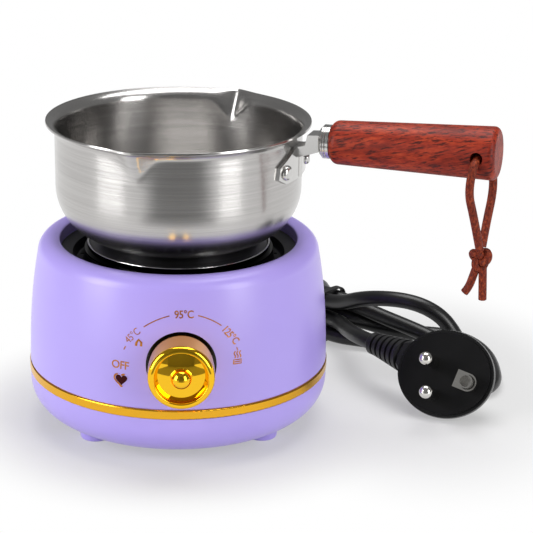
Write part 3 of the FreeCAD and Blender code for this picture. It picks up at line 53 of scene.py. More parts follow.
# The lead's route from the gland round the hank to the plug, in metres.
LEAD_ROUTE = [
    (0.0, 0.08, 0.0155), (0.0, 0.0983, 0.0156), (0.0165, 0.1139, 0.0174), (0.0392, 0.1126, 0.0196),
    (0.0559, 0.09255, 0.0199), (0.072, 0.07335, 0.0201), (0.084, 0.053, 0.031), (0.102, 0.041, 0.034),
    (0.115, 0.0375, 0.029), (0.1225, 0.036, 0.0195), (0.1265, 0.0395, 0.0095), (0.1275, 0.05, 0.0043),
    (0.1225, 0.061, 0.005), (0.11, 0.068, 0.009), (0.0925, 0.073, 0.0148), (0.0778, 0.07825, 0.02),
    (0.063, 0.09595, 0.0199), (0.05, 0.1155, 0.0148), (0.0395, 0.13, 0.0085), (0.0395, 0.143, 0.005),
    (0.0487, 0.1522, 0.0042), (0.0617, 0.1522, 0.0042), (0.0706, 0.1427, 0.005), (0.0714, 0.1207, 0.0085),
    (0.0632, 0.09595, 0.0122), (0.0778, 0.07825, 0.01235), (0.0915, 0.079, 0.0076), (0.107, 0.0776, 0.0043),
    (0.121, 0.077, 0.0039), (0.1325, 0.0695, 0.0039), (0.139, 0.054, 0.0039), (0.1398, 0.036, 0.0039),
    (0.138, 0.0182, 0.0039), (0.1298, 0.01, 0.0039), (0.1182, 0.01, 0.0039), (0.11, 0.0182, 0.0039),
    (0.1095, 0.035, 0.0039), (0.108, 0.052, 0.0039), (0.0975, 0.065, 0.004), (0.083, 0.0695, 0.0044),
    (0.072, 0.07335, 0.0047), (0.0573, 0.09095, 0.00465), (0.0435, 0.108, 0.004), (0.0315, 0.1225, 0.0039),
    (0.0176, 0.1244, 0.0039), (0.0072, 0.1166, 0.0039), (0.005, 0.105, 0.0039), (0.014, 0.0926, 0.004),
    (0.0315, 0.0964, 0.0084), (0.0513, 0.098, 0.0122), (0.0636, 0.08335, 0.0123), (0.072, 0.07335, 0.0124),
    (0.0746, 0.0645, 0.0139), (0.0755, 0.05, 0.0168), (0.0798, 0.0326, 0.0196), (0.085, 0.025, 0.02),
]
LEAD_WIDTH = 0.0070

# The lanyard: its two strands and its knot's cut ends, each point given along the handle, across it and up,
# from the middle of the handle's hole.
HANDLE_TURN = math.radians(-21.0)
LANYARD_HOLE = Vector((0.1159, -0.04449, 0.12562))
LANYARD_WIDTH = 0.0033
LANYARD_EXIT_SIDE = 0.0104
LANYARD_EXIT_UP = -0.0004
LANYARD_FRONT = [
    (0.0, 0.0, -0.0004), (0.0, -0.0126, -0.0004), (-0.0012, -0.0127, -0.0077), (-0.0016, -0.0115, -0.0145),
    (-0.0004, -0.0094, -0.0210), (0.0007, -0.0066, -0.0285), (0.0018, -0.0022, -0.0385),
]
LANYARD_REAR = [
    (0.0, 0.0, -0.0004), (0.0, 0.0126, -0.0004), (0.0018, 0.0127, -0.0077), (0.0031, 0.0114, -0.0145),
    (0.0031, 0.0094, -0.0210), (0.0023, 0.0066, -0.0285), (0.0018, 0.0022, -0.0385),
]
KNOT_CENTRE = (0.0018, 0.0, -0.0435)
KNOT_ALONG = 0.00118
KNOT_ACROSS = 0.00165
KNOT_HIGH = 0.00128
KNOT_RAISED = 0.0007
KNOT_POINTS = 36
KNOT_TAILS = [
    [(0.0006, 0.0004, -0.0455), (-0.0006, 0.0, -0.0500),
     (-0.0021, -0.0004, -0.0550), (-0.0037, -0.0007, -0.0572)],
    [(0.0030, -0.0004, -0.0455), (0.0031, 0.0002, -0.0500),
     (0.0032, 0.0008, -0.0550), (0.0033, 0.0012, -0.0598)],
]

# The tie round the hank's waist: where it stands, the strands' sides and ends inside it, and its band.
TIE_PLACE = Vector((0.0704, 0.08115, 0.0))
TIE_TURN = math.radians(-50.0)
STRAND_SIDE = 0.00381
STRAND_REACH = 0.00395
HANK_LOW = 0.00098
HANK_HIGH = 0.02432
BAND_MIDDLE = 0.00045
BAND_CORNER = 0.0042
BAND_CORNER_STEPS = 8
BAND_HALF_WIDTH = 0.0012
BAND_EDGE = 0.0004

# The pot's bowl: its outline from the axis outwards and back inside. A third number is a corner's rounding.
PLATE_TOP = 0.0785
WALL_RADIUS = 0.0500
POT_OUTLINE = [
    (0.0, PLATE_TOP), (WALL_RADIUS, PLATE_TOP, 0.0220), (WALL_RADIUS, 0.1249, 0.0034),
    (0.0537, 0.1264, 0.0003), (0.0535, 0.1273, 0.00008), (0.0533, 0.1273, 0.00008),
    (0.0491, 0.1258, 0.0043), (0.0491, 0.0794, 0.0211), (0.0, 0.0794),
]
POT_ROUNDS = 512
OUTLINE_TURN_STEP = 0.12
WALL_SHEET = 0.00095
WALL_MIDDLE = 0.04955
FLARE_START = 0.1228
FLARE_HEIGHT = 0.0062
FLARE_OUT = 0.0037
FLARE_CURVE = 1.15

# The two spouts pressed out of the wall, by their turns round the pot.
SPOUTS = (math.radians(-109.3), math.radians(63.0))
SPOUT_START = 0.1158
SPOUT_FULL = 0.1273
SPOUT_REACH = 0.0059
SPOUT_HALF = math.radians(10.0)
SPOUT_LIMIT = 0.5
SPOUT_NOSE = 0.042
SPOUT_RIM = 0.0021
SPOUT_RIM_SPREAD = 0.14
SPOUT_RIM_START = 0.1205
SPOUT_RIM_HEIGHT = 0.0060
SPOUT_CREASE = 0.0010
SPOUT_TRIM = 0.00004
PRESS_RADIUS = 0.045
PRESS_HEIGHT = 0.112
LEAST_PUSH = 0.00001
FINE_ABOVE = 0.117
FINE_STEP = 0.0006
PLAIN_STEP = 0.004

# The knob's cap, a shallow dome with a ball in its middle.
KNOB_AXIS = (0.0009, 0.0444)
KNOB_FACE = -0.0744
CAP_RADIUS = 0.01032
CAP_BALL = 0.0040
CAP_BALL_CENTRE = -0.0006
CAP_BALL_STEPS = 18
CAP_BALL_STEP = 4.7
CAP_CREASE_WIDTH = 0.00012
CAP_CREASE_DEPTH = 0.00010
CAP_DOME_START = 0.0003
CAP_DOME_STEPS = 24
CAP_ROUNDS = 160
DOME_RADIUS = 0.0103
DOME_SET_BACK = 0.0005
DOME_DROP = 0.0019

# The printed marks on the housing's front, by x and z.
PRINT_LIFT = 0.00006
PRINT_BOLD = 0.00007
PRINT_STEP = 0.0012
PRINT_FROM = -0.2
LETTER_WIDTH = 0.88
LETTER_SPACE = 0.94
ARC_LINE = 0.00042
HEAT_LINE = 0.00048
FLAME_LINE = 0.00090
HEART_LINE = 0.00066
HEART_CENTRE = (-0.02248, 0.0370)
HEART_SCALE = 0.005 / 32
HEART_NARROW = 0.93
HEART_OUT = 0.00031
HEART_POINTS = 60
FLAME_CENTRE = (-0.0154, 0.0532)
FLAME_POINTS = [(-0.0012, -0.0014), (-0.0010, -0.0001), (-0.0001, 0.0012), (0.0009, 0.0001),
                (0.0008, -0.0014)]

# The ring's painted highlight along its top edge, the floor's painted glow near the object's foot and the
# light that only fills.
RING_PAINTED_HIGHLIGHT_FROM = 0.0757
RING_PAINTED_HIGHLIGHT_BLEND = 0.0003
FLOOR_PAINTED_GLOW_NEAR = 0.38
WORLD_FILL = 0.22

# The two dark sheets in front of the stove: one stands far off, the other lies on the floor up to it.
SCREEN_HALF = 0.40
SCREEN_BACK = -1.15
SCREEN_TOP = 1.1
CARPET_HALF = 0.14
CARPET_FRONT = -0.20
CARPET_LIFT = 0.0006


# Finishes

class Value:
    """A shader socket that can be used in a sum."""

    def __init__(self, finish, socket):
        self.finish = finish
        self.socket = socket

    def maths(self, operation, one, other):
        return self.finish.node("ShaderNodeMath", {"operation": operation}, {0: one, 1: other})

    def __add__(self, other):
        return self.maths("ADD", self, other)

    def __sub__(self, other):
        return self.maths("SUBTRACT", self, other)

    def __rsub__(self, other):
        return self.maths("SUBTRACT", other, self)

    def __mul__(self, other):
        return self.maths("MULTIPLY", self, other)

    __radd__ = __add__
    __rmul__ = __mul__


class Finish:
    """A material and the nodes that make it."""

    def __init__(self, name, color, roughness, metallic=0.0, **constants):
        self.material = bpy.data.materials.new(name)
        self.material.use_nodes = True
        self.tree = self.material.node_tree
        self.shader = self.tree.nodes["Principled BSDF"]
        self.set("Base Color", (*color, 1.0))
        self.set("Roughness", roughness)
        self.set("Metallic", metallic)
        for socket, value in constants.items():
            self.set(socket.replace("_", " "), value)

    def set(self, socket, value):
        if isinstance(value, Value):
            self.tree.links.new(value.socket, self.shader.inputs[socket])
        else:
            self.shader.inputs[socket].default_value = value

    def node(self, kind, settings=None, inputs=None, output=0):
        """One node of that kind: its settings first, then the values or links of its sockets."""
        made = self.tree.nodes.new(kind)
        for name, value in (settings or {}).items():
            if name == "stops":
                self.set_stops(made, value)
            else:
                setattr(made, name, value)
        for socket, value in (inputs or {}).items():
            if isinstance(value, Value):
                self.tree.links.new(value.socket, made.inputs[socket])
            else:
                made.inputs[socket].default_value = value
        return Value(self, made.outputs[output])

    def set_stops(self, ramp, stops):
        elements = ramp.color_ramp.elements
        while len(elements) < len(stops):
            elements.new(0.5)
        for element, (place, color) in zip(elements, stops):
            element.position = place
            element.color = (*color, 1.0)

    def place(self, scale=(1.0, 1.0, 1.0), turn=(0.0, 0.0, 0.0), shift=(0.0, 0.0, 0.0)):
        """Object coordinates, scaled and turned."""
        spot = self.node("ShaderNodeTexCoord", output=3)
        return self.node("ShaderNodeMapping", {"vector_type": "POINT"},
                         {"Vector": spot, "Scale": scale, "Rotation": turn, "Location": shift})

    def noise(self, vector, scale, detail=2.0, roughness=0.5):
        return self.node("ShaderNodeTexNoise", {}, {"Vector": vector, "Scale": scale, "Detail": detail,
                                                    "Roughness": roughness})

    def scaled(self, vector, scale):
        return self.node("ShaderNodeMapping", {}, {"Vector": vector, "Scale": scale})

    def axes(self):
        """Object coordinates as three values."""
        spot = self.node("ShaderNodeTexCoord", output=3)
        across = self.node("ShaderNodeSeparateXYZ", {}, {0: spot})
        return [Value(self, socket) for socket in across.socket.node.outputs]

    def ramp(self, value, stops):
        return self.node("ShaderNodeValToRGB", {"stops": stops}, {0: value})

    def blend(self, factor, one, other):
        """A mix of two colours by a number from 0 to 1."""
        inputs = {0: factor, 6: one, 7: other}
        for socket in (6, 7):
            if not isinstance(inputs[socket], Value):
                inputs[socket] = (*inputs[socket], 1.0)
        return self.node("ShaderNodeMix", {"data_type": "RGBA"}, inputs, output=2)

    def bump(self, height, strength, distance):
        self.set("Normal", self.node("ShaderNodeBump", {}, {"Height": height, "Strength": strength,
                                                            "Distance": distance}))


def linear(red, green, blue):
    """A colour as the screen shows it, from 0 to 255, as light."""
    return tuple((c / 255 / 12.92) if c <= 10 else ((c / 255 + 0.055) / 1.055) ** 2.4
                 for c in (red, green, blue))


def housing_lilac():
    """Soft-touch enamel: even colour with a faint cloud and a very fine grain."""
    finish = Finish("housing_lilac", linear(178, 160, 238), 0.36, Coat_Weight=0.22, Coat_Roughness=0.22)
    cloud = finish.noise(finish.place(), scale=30.0, detail=3.0)
    grain = finish.noise(finish.place(), scale=1100.0)
    finish.set("Base Color", finish.blend(cloud, linear(172, 154, 234), linear(180, 163, 240)))
    finish.set("Roughness", 0.32 + cloud * 0.06)
    finish.bump(grain, strength=0.05, distance=0.0002)
    return finish.material


def metal(name, color, roughness, scratch=1.0):
    """Polished or plated metal with faint wipe marks."""
    finish = Finish(name, color, roughness, 1.0)
    wipes = finish.noise(finish.place((1, 1, 3)), scale=260.0, detail=4.0, roughness=0.6)
    fine = finish.noise(finish.place(), scale=1800.0)
    dim = tuple(c * (1 - 0.07 * scratch) for c in color)
    finish.set("Base Color", finish.blend(wipes, dim, color))
    finish.set("Roughness", roughness - 0.02 * scratch + wipes * (0.05 * scratch))
    finish.bump(fine, strength=0.03 * scratch, distance=0.0001)
    return finish.material


def brushed_round(name, color, roughness, contrast, stretch):
    """Steel polished on a lathe: fine lines that run round the Z axis."""
    finish = Finish(name, color, roughness, 1.0, Anisotropic=stretch, Anisotropic_Rotation=0.25)
    x, y, z = finish.axes()
    radius = finish.node("ShaderNodeMath", {"operation": "SQRT"}, {0: x * x + y * y})
    fine_place = finish.node("ShaderNodeCombineXYZ", {}, {0: x * 14.0, 1: y * 14.0, 2: (z + radius) * 3200.0})
    fine = finish.noise(fine_place, scale=1.0, detail=3.0, roughness=0.7)
    broad_place = finish.node("ShaderNodeCombineXYZ", {}, {0: x * 9.0, 1: y * 9.0, 2: (z + radius) * 420.0})
    broad = finish.noise(broad_place, scale=1.0)
    dark = tuple(c * (1 - 2.2 * contrast) for c in color)
    pale = tuple(min(1.0, c * (1 + 1.2 * contrast)) for c in color)
    finish.set("Base Color", finish.ramp(fine * 0.7 + broad * 0.3, [(0.30, dark), (0.70, pale)]))
    finish.set("Roughness", roughness - 0.06 + fine * 0.12)
    finish.bump(fine, strength=0.10, distance=0.0001)
    return finish.material


def moulded(name, color, roughness, grain=0.06, **constants):
    """Plastic, rubber or enamel: a slightly uneven sheen over a fine grain."""
    finish = Finish(name, color, roughness, 0.0, **constants)
    cloud = finish.noise(finish.place(), scale=120.0, detail=3.0)
    pale = tuple(min(1.0, c * 1.12 + 0.0008) for c in color)
    finish.set("Base Color", finish.blend(cloud, color, pale))
    finish.set("Roughness", roughness - 0.03 + cloud * 0.07)
    finish.bump(finish.noise(finish.place(), scale=1400.0, detail=3.0), strength=grain, distance=0.0002)
    return finish.material


def print_gold():
    """Metallic gold print: a thin foil, browner where it is worn."""
    finish = Finish("print_gold", linear(176, 108, 30), 0.40, 0.45)
    wear = finish.noise(finish.place(), scale=700.0, detail=3.0)
    finish.set("Base Color", finish.ramp(wear, [(0.35, linear(150, 84, 26)), (0.65, linear(196, 128, 36))]))
    return finish.material


def ring_chrome_painted_highlight():
    """A pressed chrome ring with a painted highlight along its top edge and painted shade below it."""
    finish = Finish("trim_chrome", linear(226, 226, 226), 0.12, 1.0)
    height = finish.axes()[2]
    # Painted highlight and shade: the colour is bright above this height and dark below it.
    edge = finish.node("ShaderNodeMapRange", {}, {0: height, 1: RING_PAINTED_HIGHLIGHT_FROM,
                                                  2: RING_PAINTED_HIGHLIGHT_FROM + RING_PAINTED_HIGHLIGHT_BLEND})
    wipes = finish.noise(finish.place(), scale=400.0, detail=3.0)
    finish.set("Base Color", finish.blend(edge, linear(26, 26, 27), linear(228, 228, 228)))
    finish.set("Roughness", 0.10 + wipes * 0.08)
    return finish.material


def handle_wood():
    """Red-stained hardwood: slanted dark figure and pores along the handle."""
    finish = Finish("handle_wood", linear(150, 58, 36), 0.42, Specular_IOR_Level=0.25)
    along = finish.place(turn=(0, 0, -HANDLE_TURN))
    slanted = finish.node("ShaderNodeMapping", {}, {"Vector": along, "Rotation": (0, math.radians(16), 0)})
    figure = finish.noise(finish.scaled(slanted, (45, 240, 240)), scale=1.0, detail=4.0, roughness=0.6)
    pores = finish.noise(finish.scaled(slanted, (170, 1300, 1300)), scale=1.0, detail=3.0, roughness=0.65)
    rays = finish.noise(finish.scaled(along, (300, 900, 900)), scale=1.0, roughness=0.6)
    stained = finish.ramp(figure * 0.65 + rays * 0.35, [
        (0.28, linear(90, 18, 8)), (0.48, linear(140, 40, 19)), (0.70, linear(182, 68, 34))])
    clear = finish.ramp(pores, [(0.38, (0, 0, 0)), (0.50, (1, 1, 1))])
    finish.set("Base Color", finish.blend(clear, linear(62, 13, 8), stained))
    finish.set("Roughness", 0.52 - figure * 0.12)
    finish.bump(pores, strength=0.35, distance=0.0003)
    return finish.material


def lanyard_leather():
    """Brown cord leather, worn paler along its grain."""
    finish = Finish("lanyard_leather", linear(112, 38, 18), 0.60, Specular_IOR_Level=0.25)
    grain = finish.noise(finish.place((1, 1, 0.6)), scale=1100.0, detail=4.0, roughness=0.65)
    finish.set("Base Color", finish.ramp(grain, [
        (0.32, linear(58, 14, 5)), (0.52, linear(114, 36, 12)), (0.72, linear(164, 76, 38))]))
    finish.bump(grain, strength=0.6, distance=0.0004)
    return finish.material


LILAC = housing_lilac()
GOLD_BAND = metal("band_gold", linear(236, 176, 48), 0.20)
GOLD_MIRROR = metal("knob_gold", linear(250, 196, 44), 0.05, scratch=0.5)
GOLD_PRINT = print_gold()
STEEL_POT = brushed_round("pot_steel", linear(192, 190, 188), 0.23, contrast=0.08, stretch=0.8)
STEEL_BRIGHT = metal("bracket_steel", linear(210, 209, 207), 0.18)
STEEL_PLAIN = metal("screw_steel", linear(150, 150, 150), 0.35)
CHROME_PAINTED_HIGHLIGHT = ring_chrome_painted_highlight()
PLATE = brushed_round("plate_steel", linear(96, 96, 98), 0.34, contrast=0.16, stretch=0.3)
TRAY_BLACK = moulded("tray_black", linear(12, 12, 13), 0.34, Specular_IOR_Level=0.35)
PLASTIC_BLACK = moulded("plastic_black", linear(11, 11, 12), 0.26, grain=0.03)
RUBBER_BLACK = moulded("rubber_black", linear(17, 17, 18), 0.42)
BAND_RUBBER = moulded("band_rubber", linear(20, 20, 21), 0.50)
CORD_BLACK = moulded("cord_black", linear(15, 15, 16), 0.34)
FACE_GREY = moulded("plug_face_grey", linear(7, 7, 8), 0.30, grain=0.03, Specular_IOR_Level=0.3)
CERAMIC = moulded("ceramic_white", linear(225, 222, 212), 0.5)
LENS_RED = moulded("lens_red", linear(52, 3, 7), 0.30, grain=0.02, Specular_IOR_Level=0.10)
PIN_NICKEL = metal("pin_nickel", linear(222, 220, 215), 0.14)
WOOD = handle_wood()
LEATHER = lanyard_leather()
SCREEN_DARK = Finish("screen_dark", (0.20, 0.20, 0.20), 0.9).material

NODE_FINISH = {
    "upper_shell": LILAC, "bottom_cover": LILAC, "trim_band": GOLD_BAND, "foot_pads": LILAC,
    "knob_skirt": GOLD_MIRROR, "knob_escutcheon": PLASTIC_BLACK,
    "cover_screws": STEEL_PLAIN, "thermostat_screws": STEEL_PLAIN, "terminal_screws": STEEL_PLAIN,
    "clamp_screws": STEEL_PLAIN, "plate_stud": STEEL_PLAIN, "shield_nut": STEEL_PLAIN,
    "thermostat_bracket": STEEL_PLAIN, "thermostat_shaft": STEEL_PLAIN, "handle_tang": STEEL_PLAIN,
    "fuse_clip": STEEL_PLAIN, "drip_tray": TRAY_BLACK, "plate_trim_ring": CHROME_PAINTED_HIGHLIGHT, "heating_plate": PLATE,
    "heating_element": STEEL_PLAIN, "heat_shield": STEEL_PLAIN, "thermostat_body": PLASTIC_BLACK,
    "cord_clamp": PLASTIC_BLACK, "plug_body": PLASTIC_BLACK, "plug_face": FACE_GREY,
    "terminal_block": CERAMIC, "thermal_fuse": CERAMIC, "lamp_holder": CERAMIC,
    "indicator_lens": LENS_RED, "indicator_lamp": LENS_RED, "handle_bracket": STEEL_BRIGHT,
    "bracket_rivets": STEEL_BRIGHT, "handle_ferrule": STEEL_BRIGHT, "handle_grip": WOOD,
    "inner_lead": CORD_BLACK, "lead_gland": RUBBER_BLACK,
    "plug_relief": RUBBER_BLACK, "plug_pins": PIN_NICKEL, "plug_earth_pin": PIN_NICKEL,
}


def dress_nodes():
    for name, material in NODE_FINISH.items():
        cad[name].data.materials.clear()
        cad[name].data.materials.append(material)


# Making pieces

def made_mesh(name, work):
    """A mesh out of a bmesh, which is freed."""
    mesh = bpy.data.meshes.new(name)
    work.to_mesh(mesh)
    work.free()
    return mesh


def keep(name, mesh, material, body):
    """A finished mesh as a piece of the object, riding on its body."""
    piece = bpy.data.objects.new(name, mesh)
    bpy.context.collection.objects.link(piece)
    mesh.materials.clear()
    mesh.materials.append(material)
    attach(piece, body)
    return piece


def round_curve(name, route, width, closed, steps, rounding):
    """A smooth round strand that follows a route of points."""
    curve = bpy.data.curves.new(name, "CURVE")
    curve.dimensions = "3D"
    spline = curve.splines.new("NURBS")
    spline.points.add(len(route) - 1)
    for point, spot in zip(spline.points, route):
        point.co = (*spot, 1.0)
    spline.order_u = 4 if closed else 3
    spline.use_cyclic_u = closed
    spline.use_endpoint_u = not closed
    spline.resolution_u = steps
    curve.bevel_depth = width / 2
    curve.bevel_resolution = rounding
    curve.use_fill_caps = not closed
    return curve


def cord_piece(name, route, width, material, body):
    """A cord as a piece of the object, riding on its body."""
    curve = round_curve(name, route, width, closed=False, steps=8, rounding=5)
    curve.materials.append(material)
    piece = bpy.data.objects.new(name, curve)
    bpy.context.collection.objects.link(piece)
    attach(piece, body)
    return piece


def lay_lead():
    lead = cord_piece("lead", LEAD_ROUTE, LEAD_WIDTH, CORD_BLACK, "stove")
    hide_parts("lead_tail", "lead_hank", "lead_plug_run")
    plug = [cad[name] for name in ("plug_body", "plug_face", "plug_pins", "plug_earth_pin", "plug_relief")]
    plug + [tie_hank()]


def handle_frame(spot):
    """A point given along the handle, across it and up, from the lanyard hole."""
    along = Vector((math.cos(HANDLE_TURN), math.sin(HANDLE_TURN), 0.0))
    across = Vector((-math.sin(HANDLE_TURN), math.cos(HANDLE_TURN), 0.0))
    return LANYARD_HOLE + along * spot[0] + across * spot[1] + Vector((0, 0, spot[2]))


def outline_mesh(name, data):
    """The mesh of a curve or a text; its holder is taken away."""
    holder = bpy.data.objects.new(name + "_outline", data)
    bpy.context.collection.objects.link(holder)
    mesh = bpy.data.meshes.new_from_object(holder.evaluated_get(bpy.context.evaluated_depsgraph_get()))
    bpy.data.objects.remove(holder)
    return mesh


def smooth_mesh(name, meshes):
    """One smooth mesh out of several, its normals outwards."""
    work = bmesh.new()
    for mesh in meshes:
        work.from_mesh(mesh)
    bmesh.ops.remove_doubles(work, verts=work.verts, dist=1e-6)
    bmesh.ops.recalc_face_normals(work, faces=work.faces)
    for face in work.faces:
        face.smooth = True
    return made_mesh(name, work)


def tie_knot():
    """An overhand knot of the lanyard's own thickness with two cut ends under it."""
    loop = []
    for i in range(KNOT_POINTS):
        turn = 2 * math.pi * i / KNOT_POINTS
        along = KNOT_ALONG * (math.sin(turn) + 2 * math.sin(2 * turn))
        across = -KNOT_ACROSS * math.sin(3 * turn)
        up = KNOT_HIGH * (math.cos(turn) - 2 * math.cos(2 * turn)) + KNOT_RAISED
        loop.append(handle_frame((KNOT_CENTRE[0] + along, across, KNOT_CENTRE[2] + up)))
    curves = [round_curve("knot_loop", loop, LANYARD_WIDTH, closed=True, steps=6, rounding=4)]
    for i, tail in enumerate(KNOT_TAILS):
        route = [handle_frame(spot) for spot in tail]
        curves.append(round_curve(f"knot_tail_{i}", route, LANYARD_WIDTH, closed=False, steps=6, rounding=4))
    mesh = smooth_mesh("lanyard_tied_knot", [outline_mesh(curve.name, curve) for curve in curves])
    knot = keep("lanyard_tied_knot", mesh, LEATHER, "lanyard")
    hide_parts("lanyard_knot")
    return knot


def hang_lanyard():
    """Two strands that start in the middle of the handle's hole and meet again in the knot."""
    knot = tie_knot()
    for node, side, spots in (("lanyard_front", -1, LANYARD_FRONT), ("lanyard_rear", 1, LANYARD_REAR)):
        route = [handle_frame(spot) for spot in spots]
        strand = cord_piece(node + "_strand", route, LANYARD_WIDTH, LEATHER, "lanyard")
        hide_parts(node)
        handle_frame((0.0, side * LANYARD_EXIT_SIDE, LANYARD_EXIT_UP))


def tie_hank():
    """A flat rubber band with rounded edges round the hank's waist."""
    side = STRAND_SIDE + STRAND_REACH + BAND_MIDDLE - BAND_CORNER
    low = HANK_LOW - BAND_MIDDLE + BAND_CORNER
    high = HANK_HIGH + BAND_MIDDLE - BAND_CORNER
    points = []
    for x, z, start in ((side, high, 0), (-side, high, 90), (-side, low, 180), (side, low, 270)):
        for k in range(BAND_CORNER_STEPS + 1):
            turn = math.radians(start + 90 * k / BAND_CORNER_STEPS)
            points.append((x + BAND_CORNER * math.cos(turn), z + BAND_CORNER * math.sin(turn)))
    curve = bpy.data.curves.new("hank_band", "CURVE")
    curve.dimensions = "3D"
    curve.twist_mode = "Z_UP"
    spline = curve.splines.new("POLY")
    spline.points.add(len(points) - 1)
    for point, (x, z) in zip(spline.points, points):
        point.co = (x, z, 0.0, 1.0)
    spline.use_cyclic_u = True
    curve.extrude = BAND_HALF_WIDTH
    curve.bevel_depth = BAND_EDGE
    curve.bevel_resolution = 3
    mesh = smooth_mesh("hank_band", [outline_mesh("hank_band", curve)])
    mesh.transform(Matrix.Translation(TIE_PLACE) @ Matrix.Rotation(TIE_TURN - math.pi / 2, 4, "Z")
                   @ Matrix.Rotation(math.pi / 2, 4, "X"))
    band = keep("hank_band", mesh, BAND_RUBBER, "stove")
    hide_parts("hank_tie")
    return band


# The pot's bowl

def rounded_outline(corners):
    """Points of an outline; a corner's third number is the radius of its rounding."""
    points = []
    for i, corner in enumerate(corners):
        spot = Vector(corner[:2])
        if len(corner) < 3:
            points.append(spot)
            continue
        before = (Vector(corners[i - 1][:2]) - spot).normalized()
        after = (Vector(corners[i + 1][:2]) - spot).normalized()
        half = before.angle(after) / 2
        start = before * corner[2] / math.tan(half)
        middle = (before + after).normalized() * corner[2] / math.sin(half)
        end = after * corner[2] / math.tan(half)
        first = math.atan2(start.y - middle.y, start.x - middle.x)
        sweep = math.atan2(end.y - middle.y, end.x - middle.x) - first
        sweep = (sweep + math.pi) % (2 * math.pi) - math.pi
        steps = max(3, math.ceil(abs(sweep) / OUTLINE_TURN_STEP))
        for k in range(steps + 1):
            turn = first + sweep * k / steps
            points.append(spot + middle + Vector((math.cos(turn), math.sin(turn))) * corner[2])
    return points


def fine_outline(points):
    """The same outline with short steps where the spouts are pressed out."""
    fine = [points[0]]
    for point in points[1:]:
        last = fine[-1]
        longest = FINE_STEP if max(last.y, point.y) > FINE_ABOVE else PLAIN_STEP
        steps = max(1, math.ceil((point - last).length / longest))
        fine += [last.lerp(point, (k + 1) / steps) for k in range(steps)]
    return fine


def eased(share):
    """A soft step from 0 to 1."""
    share = min(1.0, max(0.0, share))
    return share * share * (3 - 2 * share)


def spout_push(radius, height, turn, inner):
    """How far the wall stands out at that place because of a spout."""
    push = 0.0
    for spout in SPOUTS:
        away = abs((turn - spout + math.pi) % (2 * math.pi) - math.pi)
        if away > SPOUT_LIMIT:
            continue
        share = (height - SPOUT_START) / (SPOUT_FULL - SPOUT_START)
        soft = math.hypot(away, SPOUT_NOSE) - SPOUT_NOSE
        horn = WALL_RADIUS - inner + SPOUT_REACH * (share - soft / SPOUT_HALF)
        spread = math.exp(-(away / SPOUT_RIM_SPREAD) ** 2)
        rim = SPOUT_RIM * spread * eased((height - SPOUT_RIM_START) / SPOUT_RIM_HEIGHT)
        over = horn - radius - rim
        push = max(push, rim + (over + math.hypot(over, SPOUT_CREASE)) / 2 - SPOUT_TRIM)
    return push


def spin_bowl():
    """The pot's drawn bowl, turned from its outline, with the spouts pressed out of its wall."""
    points = fine_outline(rounded_outline(POT_OUTLINE))
    work = bmesh.new()
    first = SPOUTS[0]
    verts = [work.verts.new((p.x * math.cos(first), p.x * math.sin(first), p.y)) for p in points]
    edges = [work.edges.new((one, other)) for one, other in zip(verts, verts[1:])]
    bmesh.ops.spin(work, geom=verts + edges, cent=(0, 0, 0), axis=(0, 0, 1), angle=2 * math.pi,
                   steps=POT_ROUNDS, use_merge=True)
    bmesh.ops.remove_doubles(work, verts=work.verts, dist=1e-7)
    for vert in work.verts:
        radius = math.hypot(vert.co.x, vert.co.y)
        if radius < PRESS_RADIUS or vert.co.z < PRESS_HEIGHT:
            continue
        turn = math.atan2(vert.co.y, vert.co.x)
        inner = 0.0 if radius > wall_middle(vert.co.z) else WALL_SHEET
        push = spout_push(radius, vert.co.z, turn, inner)
        if push > LEAST_PUSH:
            vert.co.x += push * math.cos(turn)
            vert.co.y += push * math.sin(turn)
    bmesh.ops.recalc_face_normals(work, faces=work.faces)
    for face in work.faces:
        face.smooth = True
    bowl = keep("pot_bowl_spun", made_mesh("pot_bowl_spun", work), STEEL_POT, "pot")
    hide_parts("pot_bowl")


def wall_middle(height):
    """The radius halfway through the wall's sheet, before the spouts are pressed."""
    if height < FLARE_START:
        return WALL_MIDDLE
    return WALL_MIDDLE + FLARE_OUT * eased((height - FLARE_START) / FLARE_HEIGHT) ** FLARE_CURVE


# Printed marks on the housing's front

def shell_surface():
    """The housing's surface, to lay the print on."""
    source = bmesh.new()
    source.from_mesh(cad["upper_shell"].data)
    tree = BVHTree.FromBMesh(source)
    source.free()
    return tree


def lay_on_shell(mesh, tree):
    """Carries a flat drawing, x across and z up, back onto the housing's front, just clear of it."""
    work = bmesh.new()
    work.from_mesh(mesh)
    bmesh.ops.remove_doubles(work, verts=work.verts, dist=1e-6)
    long_edges = [edge for edge in work.edges if edge.calc_length() > PRINT_STEP]
    bmesh.ops.subdivide_edges(work, edges=long_edges, cuts=2, use_grid_fill=True)
    for vert in work.verts:
        start = Vector((vert.co.x, PRINT_FROM, vert.co.z))
        hit = tree.ray_cast(start, Vector((0, 1, 0)))[0]
        vert.co = hit - Vector((0, PRINT_LIFT, 0))
    bmesh.ops.recalc_face_normals(work, faces=work.faces)
    if sum(f.normal.y for f in work.faces) > 0:
        bmesh.ops.reverse_faces(work, faces=work.faces)
    work.to_mesh(mesh)
    work.free()


def upright(mesh, centre, turn):
    """Stands a drawing made in the XY plane up in the XZ plane, turned about its centre."""
    mesh.transform(Matrix.Translation((centre[0], 0, centre[1])) @ Matrix.Rotation(-turn, 4, "Y")
                   @ Matrix.Rotation(math.pi / 2, 4, "X"))


def printed_text(name, words, centre, turn, size, tree, bold=PRINT_BOLD):
    """Words in gold print, turned about their centre."""
    text = bpy.data.curves.new(name, "FONT")
    text.body = words
    text.size = size
    text.align_x = "CENTER"
    text.align_y = "CENTER"
    text.resolution_u = 3
    text.offset = bold
    text.space_character = LETTER_SPACE
    mesh = outline_mesh(name, text)
    mesh.transform(Matrix.Diagonal((LETTER_WIDTH, 1.0, 1.0, 1.0)))
    upright(mesh, centre, turn)
    lay_on_shell(mesh, tree)
    keep(name, mesh, GOLD_PRINT, "stove")


